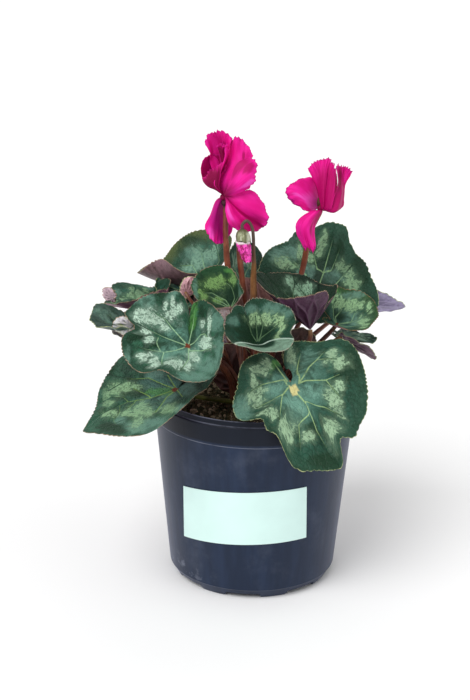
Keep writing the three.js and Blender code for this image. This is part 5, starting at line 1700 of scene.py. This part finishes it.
def soil_height(x, y, roughness):
    """Height of the soil's top, with its lumps and finer crumbs."""
    fine = [noise.fractal(Vector((a * 0.28, b * 0.28, 3.3)), 0.8, 2.2, 4) for a, b in zip(x, y)]
    return SOIL_LEVEL + soil_lump(x, y) + roughness * np.array(fine)


def add_soil(pot, soil):
    """The pot's filling: a lumpy top over plain sides and underside."""
    rim = pot.rim_radius / MM
    floor = FLOOR_UNDERSIDE + WALL + SEAT_GAP
    side = wall_radius(COLLAR_BOTTOM, rim) - WALL - SEAT_GAP - 0.4
    angles = np.linspace(0, 360, 180, endpoint=False)
    lower = [(0.01, floor), (wall_radius(floor, rim) - WALL - 5, floor)]
    lower += [(wall_radius(floor + 4, rim) - WALL - 0.8, floor + 4), (side, COLLAR_BOTTOM - 0.5)]
    rows = [polar(radius, angles, height) for radius, height in lower]
    for radius in np.linspace(side, 4, 64):
        row = polar(radius, angles, 0.0)
        row[:, 2] = soil_height(row[:, 0], row[:, 1], soil.roughness / MM)
        row[:, 2] -= max(0, TUBER_RADIUS + 2 - radius) * 0.5
        rows.append(row)
    points = np.concatenate([*rows, [rows[-1].mean(0)]])
    faces = grid_faces(len(rows), len(angles), closed=True)
    last = (len(rows) - 1) * len(angles)
    faces += [(last + i, last + (i + 1) % len(angles), len(points) - 1) for i in range(len(angles))]
    return add_piece("soil_bed", points, faces, [soil_material(soil)], ["soil"])


# A crumb's corners before it is stretched and dented: those of three golden rectangles
GOLDEN = 1.618
RECTANGLE = np.array([(s, GOLDEN * t, 0) for s in (-1, 1) for t in (-1, 1)])
CRUMB = unit(np.concatenate([np.roll(RECTANGLE, turn, axis=1) for turn in range(3)]))
LARGEST_CRUMB = 2.6


def hull_faces(points):
    """Faces of a convex body, from its points."""
    body = bmesh.new()
    for point in points:
        body.verts.new(point)
    bmesh.ops.convex_hull(body, input=body.verts)
    body.verts.index_update()
    faces = [tuple(v.index for v in face.verts) for face in body.faces]
    body.free()
    return faces


def add_crumbs(pot, soil):
    """Crumbs, bark and grit strewn over the soil and round the tuber, with more grit at the left."""
    draw = np.random.default_rng(soil.seed)
    shape = hull_faces(CRUMB)
    side = wall_radius(COLLAR_BOTTOM, pot.rim_radius / MM) - WALL - 2
    parts, tints = [], []
    for _ in range(soil.crumbs):
        radius = math.sqrt(draw.uniform((TUBER_RADIUS - 3) ** 2, side**2))
        spot = polar(radius, draw.uniform(0, 360), 0.0)
        size = min(soil.crumb_size / MM * draw.lognormal(0, 0.45), LARGEST_CRUMB)
        stretch = draw.uniform(0.55, 1.35, 3) * size
        lumps = CRUMB * (1 + draw.uniform(-0.22, 0.22, (len(CRUMB), 1))) * stretch
        turn = Matrix.Rotation(draw.uniform(0, 6.28), 3, "Z")
        turn = np.array(turn @ Matrix.Rotation(draw.uniform(-0.9, 0.9), 3, "X"))
        ground = SOIL_LEVEL + float(soil_lump(spot[0], spot[1]))
        if radius < TUBER_RADIUS:
            ground = max(ground, tuber_top(radius))
        spot[2] = ground + size * 0.25
        parts.append((lumps @ turn.T + spot, shape))
        pale = soil.pale_share * (2.2 if spot[0] < -12 else 0.8)
        tint = draw.uniform(0, 0.7) if draw.uniform() > pale else draw.uniform(0.8, 1)
        tints += [tint] * len(CRUMB)
    points, faces = joined(parts)
    return add_piece(
        "soil_crumbs", points, faces, [crumb_material(soil)], [], {"tint": tints}, sharp=35,
    )


def add_tuber(soil):
    """A flattened corky ball that stands a little out of the soil."""
    rise, angle = ring_grid(40, 96, -89, 89)
    slope = np.radians(rise)
    bulge = 1 + 0.012 * np.sin(np.radians(angle * 7)) * np.cos(np.radians(rise * 3))
    bulge = bulge + 0.008 * np.sin(np.radians(angle * 17 + rise * 4))
    height = TUBER_TOP - TUBER_HEIGHT / 2 + TUBER_HEIGHT / 2 * 0.99 * np.sin(slope)
    rows = polar(TUBER_RADIUS * 0.985 * bulge * np.cos(slope), angle, height)
    faces = grid_faces(*rise.shape, closed=True)
    return add_piece(
        "tuber_crown", rows.reshape(-1, 3), faces, [tuber_material(soil)], ["tuber"],
    )


# Settings

def length(name, text, millimetres):
    value = millimetres * MM
    return FloatProperty(name=name, description=text, default=value, unit="LENGTH", precision=5)


def colour(name, text, code):
    return FloatVectorProperty(
        name=name, description=text, default=rgb(code), size=3, subtype="COLOR", min=0, max=1,
    )


def factor(name, text, value):
    return FloatProperty(name=name, description=text, default=value, min=0, max=1, subtype="FACTOR")


def angle(name, text, degrees):
    return FloatProperty(name=name, description=text, default=math.radians(degrees), subtype="ANGLE")


def strength(name, text, value):
    return FloatProperty(name=name, description=text, default=value, min=0)


POT_LOW, POT_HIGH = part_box("pot")
LABEL_LOW, LABEL_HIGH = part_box("label")


class PotSettings(bpy.types.PropertyGroup):
    height: length("Height", "From the base ring to the lip", (POT_HIGH.z - POT_LOW.z) / MM)
    rim_radius: length("Rim radius", "Outer radius of the collar", (POT_HIGH.x - POT_LOW.x) / 2 / MM)
    label_width: length("Label width", "Measured round the wall", 89)
    label_bottom: length("Label bottom", "Height of the label's lower edge", LABEL_LOW.z / MM)
    label_top: length("Label top", "Height of the label's upper edge", LABEL_HIGH.z / MM)
    label_thickness: length("Label thickness", "Of the paper", 0.4)
    plastic: colour("Plastic", "The pot's colour", "1A2539")
    # Scuffs and dusty patches, and painted highlight lines along the moulded edges
    dust_and_highlight: colour("Dust", "Colour of scuffs and dust", "7E8494")
    paper: colour("Paper", "The label's colour", "D3F0EA")
    roughness: factor("Roughness", "Of the plastic", 0.34)


class SoilSettings(bpy.types.PropertyGroup):
    roughness: length("Roughness", "Height of the fine lumps", 0.8)
    crumbs: IntProperty(name="Crumbs", description="How many crumbs lie on the soil", default=3600, min=0)
    crumb_size: length("Crumb size", "Usual radius of a crumb", 0.95)
    pale_share: factor("Pale share", "Share of pale grit", 0.14)
    seed: IntProperty(name="Seed", description="Of the random draw", default=11)
    dark: colour("Dark", "Wet peat", "363C26")
    brown: colour("Brown", "Dry peat and bark", "5C5238")
    pale: colour("Pale", "Grit", "C8B89A")
    cork: colour("Cork", "The tuber's skin", "6A4632")


class LeafSettings(bpy.types.PropertyGroup):
    thickness: length("Thickness", "Of the blade at its stalk", 0.75)
    tooth_pitch: length("Tooth pitch", "Distance between the margin's teeth", 2.9)
    tooth_depth: length("Tooth depth", "Depth of the margin's teeth", 1.1)
    columns_per_tooth: IntProperty(name="Columns per tooth", description="Fineness", default=4, min=2)
    quilting: length("Quilting", "How far the tissue stands over the veins", 0.9)
    undulation: length("Undulation", "Waves of the margin", 0.6)
    vein_width: length("Vein width", "Of a main vein near the stalk", 1.3)
    margin_width: length("Margin width", "Of the pale edge", 0.5)
    dark: colour("Dark", "Dark green", "103424")
    light: colour("Light", "Lighter green", "275846")
    # Painted sheen, in pale blue-green clouds and patches
    slate: colour("Slate", "Pale blue-green clouds", "74A18F")
    # Painted shade, in the dark patches and random blotches
    deep: colour("Deep", "The darkest green", "0B3019")
    lit: colour("Lit", "Fresh green where light comes through a fold", "5FA34C")
    # Painted light on a rolled rim; the crest's shine is a painted highlight
    lip: colour("Lip", "A rim that rolls over", "86AA92")
    crest: colour("Crest", "The shine along a rolled rim", "CBE3D2")
    stalk_radius: length("Stalk radius", "Of a leaf stalk", 1.7)
    stalk_low: colour("Stalk", "Colour of a leaf stalk", "5E3428")
    stalk_high: colour("Stalk patches", "Lighter patches of a leaf stalk", "84513A")
    green_low: colour("Green stalk", "Colour of the stalk that is still green", "4A4C1E")
    green_high: colour("Green stalk patches", "Lighter patches of the green stalk", "6C7432")
    stalk_top: colour("Stalk top", "Colour where a stalk meets its blade", "8A6A44")


class FlowerSettings(bpy.types.PropertyGroup):
    thickness: length("Thickness", "Of a petal at its base", 0.6)
    tooth_depth: factor("Tooth depth", "Of a petal's edge, as a share of its length", 0.03)
    pleat: length("Pleat", "Height of a petal's lengthwise pleats", 0.05)
    frill: length("Frill", "Height of the frill at a petal's edge", 1.1)
    petal: colour("Petal", "Magenta", "D4087C")
    petal_light: colour("Petal highlight", "Where a petal catches the light", "EC229C")
    petal_dark: colour("Petal veins", "Fine veins and folds", "94004E")
    # Painted shade in the petals' folds
    petal_deep: colour("Petal folds", "Crimson in the folds", "A60256")
    petal_shade: colour("Deepest folds", "Dark crimson", "7A0036")
    petal_cool: colour("Petal shade", "Purple edges and shaded petals", "A20A72")
    petal_pale: colour("Petal sheen", "Lilac-pink where a petal turns", "F255C4")
    # The throat's own colour with painted shade towards the base
    throat: colour("Throat", "Towards the petals' base", "7C003C")
    bud_light: colour("Bud", "The bud's bright pink", "FF4FC0")
    stalk_radius: length("Stalk radius", "Of a flower stalk", 2.1)
    stalk_low: colour("Stalk", "Colour of a flower stalk", "6E3424")
    stalk_high: colour("Stalk patches", "Lighter patches of a flower stalk", "97553A")
    stalk_top: colour("Stalk top", "Colour below the flower", "42231A")
    sepal_low: colour("Sepal base", "Dark brown", "46301F")
    sepal_high: colour("Sepal tip", "Brownish olive", "54432A")
    bud_shine: colour("Bud highlight", "Palest pink of the bud's wrinkles", "FF9CE0")
    bud_sepal: colour("Bud sepal", "Grey-olive", "8A8E6C")
    bud_sepal_dark: colour("Bud sepal shade", "Dark olive", "55553A")
    # Also a painted highlight on the right of the bud's sepals
    bud_sepal_pale: colour("Bud sepal streaks", "Nearly white", "D3D6C2")
    bud_stalk_low: colour("Bud stalk", "Colour of the bud's stalk", "6E4226")
    bud_stalk_high: colour("Bud stalk patches", "Lighter patches of the bud's stalk", "96683C")
    hook: colour("Hook", "Dark olive-brown top of the bud's stalk", "4A3C30")


class StageSettings(bpy.types.PropertyGroup):
    distance: length("Distance", "From the camera to what it looks at", 1012)
    elevation: angle("Elevation", "Of the camera over what it looks at", 17.84)
    roll: angle("Roll", "Of the camera about its view", 0.7)
    lens: FloatProperty(name="Lens", description="Focal length", default=75.24, unit="CAMERA")
    aim: FloatVectorProperty(
        name="Aim", description="The point in the middle of the view", default=(-0.0139, 0, 0.1617),
        size=3, subtype="XYZ", unit="LENGTH",
    )
    floor: factor("Floor", "How pale the plain floor is", 0.9)
    sky: strength("Sky", "Strength of the even white light", 0.58)
    key: strength("Key light", "Strength of the main soft light", 2.15)
    fill: strength("Fill light", "Strength of the weaker lights", 0.35)


# Operators

class CYCLAMEN_OT_add_stage(bpy.types.Operator):
    """Adds the floor, the lights and the camera"""

    bl_idname = "cyclamen.add_stage"
    bl_label = "Add Stage"

    def execute(self, context):
        scene = context.scene
        stage = scene.cyclamen_stage
        corners = [(x * FLOOR_REACH, y * FLOOR_REACH, 0) for x, y in ((-1, -1), (1, -1), (1, 1), (-1, 1))]
        floor = add_mesh("floor", corners, [(0, 1, 2, 3)])
        floor.data.materials.append(floor_material(stage))

        camera = bpy.data.cameras.new("camera")
        camera.lens = stage.lens
        camera.sensor_fit = "AUTO"
        camera.sensor_width = 36
        camera.clip_start = 0.05
        camera.clip_end = 100
        scene.camera = bpy.data.objects.new("camera", camera)
        scene.collection.objects.link(scene.camera)
        tilt = Matrix.Rotation(math.radians(90) - stage.elevation, 4, "X")
        turn = tilt @ Matrix.Rotation(stage.roll, 4, "Z")
        back = Matrix.Translation((0, 0, stage.distance))
        scene.camera.matrix_world = Matrix.Translation(stage.aim) @ turn @ back

        for name, direction, spread, energy in (
            ("key_light", (-0.55, -0.75, 1.05), 42, stage.key),
            ("fill_light", (0.9, -0.5, 0.6), 60, stage.fill),
            ("back_light", (0.2, 0.9, 0.8), 60, stage.fill),
        ):
            light = bpy.data.lights.new(name, "SUN")
            light.angle = math.radians(spread)
            light.energy = energy
            lamp = bpy.data.objects.new(name, light)
            lamp.location = direction
            lamp.rotation_euler = Vector(direction).to_track_quat("Z", "Y").to_euler()
            scene.collection.objects.link(lamp)
        scene.world = bpy.data.worlds.new("studio")
        scene.world.use_nodes = True
        background = scene.world.node_tree.nodes["Background"]
        background.inputs["Color"].default_value = (1, 1, 1, 1)
        background.inputs["Strength"].default_value = stage.sky
        scene.view_settings.view_transform = "Standard"
        return {"FINISHED"}


class CYCLAMEN_OT_add_pot(bpy.types.Operator):
    """Adds the pot and the label on its wall"""

    bl_idname = "cyclamen.add_pot"
    bl_label = "Add Pot"

    def execute(self, context):
        pot = context.scene.cyclamen_pot
        add_pot(pot)
        add_label(pot)
        return {"FINISHED"}


class CYCLAMEN_OT_add_soil(bpy.types.Operator):
    """Adds the soil, its crumbs and the tuber"""

    bl_idname = "cyclamen.add_soil"
    bl_label = "Add Soil"

    def execute(self, context):
        pot, soil = context.scene.cyclamen_pot, context.scene.cyclamen_soil
        add_soil(pot, soil)
        add_crumbs(pot, soil)
        add_tuber(soil)
        return {"FINISHED"}


class CYCLAMEN_OT_add_leaves(bpy.types.Operator):
    """Adds every leaf's blade"""

    bl_idname = "cyclamen.add_leaves"
    bl_label = "Add Leaves"

    def execute(self, context):
        for leaf in LEAVES + YOUNG:
            add_blade(leaf, context.scene.cyclamen_leaves)
        return {"FINISHED"}


class CYCLAMEN_OT_add_stalks(bpy.types.Operator):
    """Adds every leaf's stalk"""

    bl_idname = "cyclamen.add_stalks"
    bl_label = "Add Leaf Stalks"

    def execute(self, context):
        leaves = context.scene.cyclamen_leaves
        skin = stalk_material("leaf_stalk", leaves.stalk_low, leaves.stalk_high, leaves.stalk_top)
        green = stalk_material("leaf_stalk_green", leaves.green_low, leaves.green_high, leaves.green_high)
        radius = leaves.stalk_radius / MM
        for leaf in LEAVES:
            path = leaf.stalk(radius, 48)
            tone = green if leaf.name in GREEN_STALKS else skin
            add_stalk(f"stalk_{leaf.name}", f"leaf_{leaf.name}_stalk", path, radius, tone)
        radius *= YOUNG_STALK
        for leaf in YOUNG:
            if leaf.crown:
                path = leaf.stalk(radius, 24)
                add_stalk(f"stalk_{leaf.name}", None, path, radius, skin)
        return {"FINISHED"}


class CYCLAMEN_OT_add_blooms(bpy.types.Operator):
    """Adds the two blooms and the spent flower, with their calyxes and stalks"""

    bl_idname = "cyclamen.add_blooms"
    bl_label = "Add Blooms"

    def execute(self, context):
        flowers = context.scene.cyclamen_flowers
        skin = stalk_material("flower_stalk", flowers.stalk_low, flowers.stalk_high, flowers.stalk_top)
        radius = flowers.stalk_radius / MM
        for flower in (*BLOOMS, SPENT):
            name = flower["name"]
            node = "spent_flower" if flower is SPENT else f"bloom_{name}"
            if flower is not SPENT:
                add_bloom(flower, flowers)
            low, high = flower.get("sepals", (flowers.sepal_low, flowers.sepal_high))
            sepals = calyx_material(f"calyx_{name}", low, high)
            add_calyx(f"calyx_{name}", f"{node}_calyx", flower["calyx"], sepals)
            path = scape_path(flower, radius)
            add_stalk(f"scape_{name}", f"{node}_stalk", path, radius, skin, top=0.58)
        return {"FINISHED"}


class CYCLAMEN_OT_add_bud(bpy.types.Operator):
    """Adds the bud with its calyx and hooked stalk"""

    bl_idname = "cyclamen.add_bud"
    bl_label = "Add Bud"

    def execute(self, context):
        flowers = context.scene.cyclamen_flowers
        add_bud(flowers)
        add_bud_calyx(bud_sepal_material(flowers))
        low, high = flowers.bud_stalk_low, flowers.bud_stalk_high
        skin = stalk_material("bud_stalk", low, high, flowers.hook, 0.32)
        path = scape_path(BUD, flowers.stalk_radius / MM, 120)
        thick = BUD_STALK_RADIUS * 1.3
        add_stalk("scape_bud", "bud_stalk", path, thick, skin, top=0.46, neck=0.24)
        return {"FINISHED"}


class CYCLAMEN_PT_parts(bpy.types.Panel):
    """Lists the plant's pieces and their settings"""

    bl_label = "Potted Cyclamen"
    bl_idname = "CYCLAMEN_PT_parts"
    bl_space_type = "VIEW_3D"
    bl_region_type = "UI"
    bl_category = "Cyclamen"

    def draw(self, context):
        for operator, settings in STEPS:
            box = self.layout.box()
            box.operator(operator.bl_idname)
            group = getattr(context.scene, settings)
            for key in group.__annotations__:
                box.prop(group, key)


STEPS = [
    (CYCLAMEN_OT_add_stage, "cyclamen_stage"),
    (CYCLAMEN_OT_add_pot, "cyclamen_pot"),
    (CYCLAMEN_OT_add_soil, "cyclamen_soil"),
    (CYCLAMEN_OT_add_leaves, "cyclamen_leaves"),
    (CYCLAMEN_OT_add_stalks, "cyclamen_leaves"),
    (CYCLAMEN_OT_add_blooms, "cyclamen_flowers"),
    (CYCLAMEN_OT_add_bud, "cyclamen_flowers"),
]
GROUPS = {
    "cyclamen_stage": StageSettings,
    "cyclamen_pot": PotSettings,
    "cyclamen_soil": SoilSettings,
    "cyclamen_leaves": LeafSettings,
    "cyclamen_flowers": FlowerSettings,
}
CLASSES = [*GROUPS.values(), *(operator for operator, _ in STEPS), CYCLAMEN_PT_parts]


def register():
    for cls in CLASSES:
        bpy.utils.register_class(cls)
    for key, group in GROUPS.items():
        setattr(bpy.types.Scene, key, PointerProperty(type=group))


def unregister():
    for key in GROUPS:
        delattr(bpy.types.Scene, key)
    for cls in reversed(CLASSES):
        bpy.utils.unregister_class(cls)


def main():
    register()
    for operator, _ in STEPS:
        family, name = operator.bl_idname.split(".")
        getattr(getattr(bpy.ops, family), name)()
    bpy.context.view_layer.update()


if __name__ == "__main__":
    main()
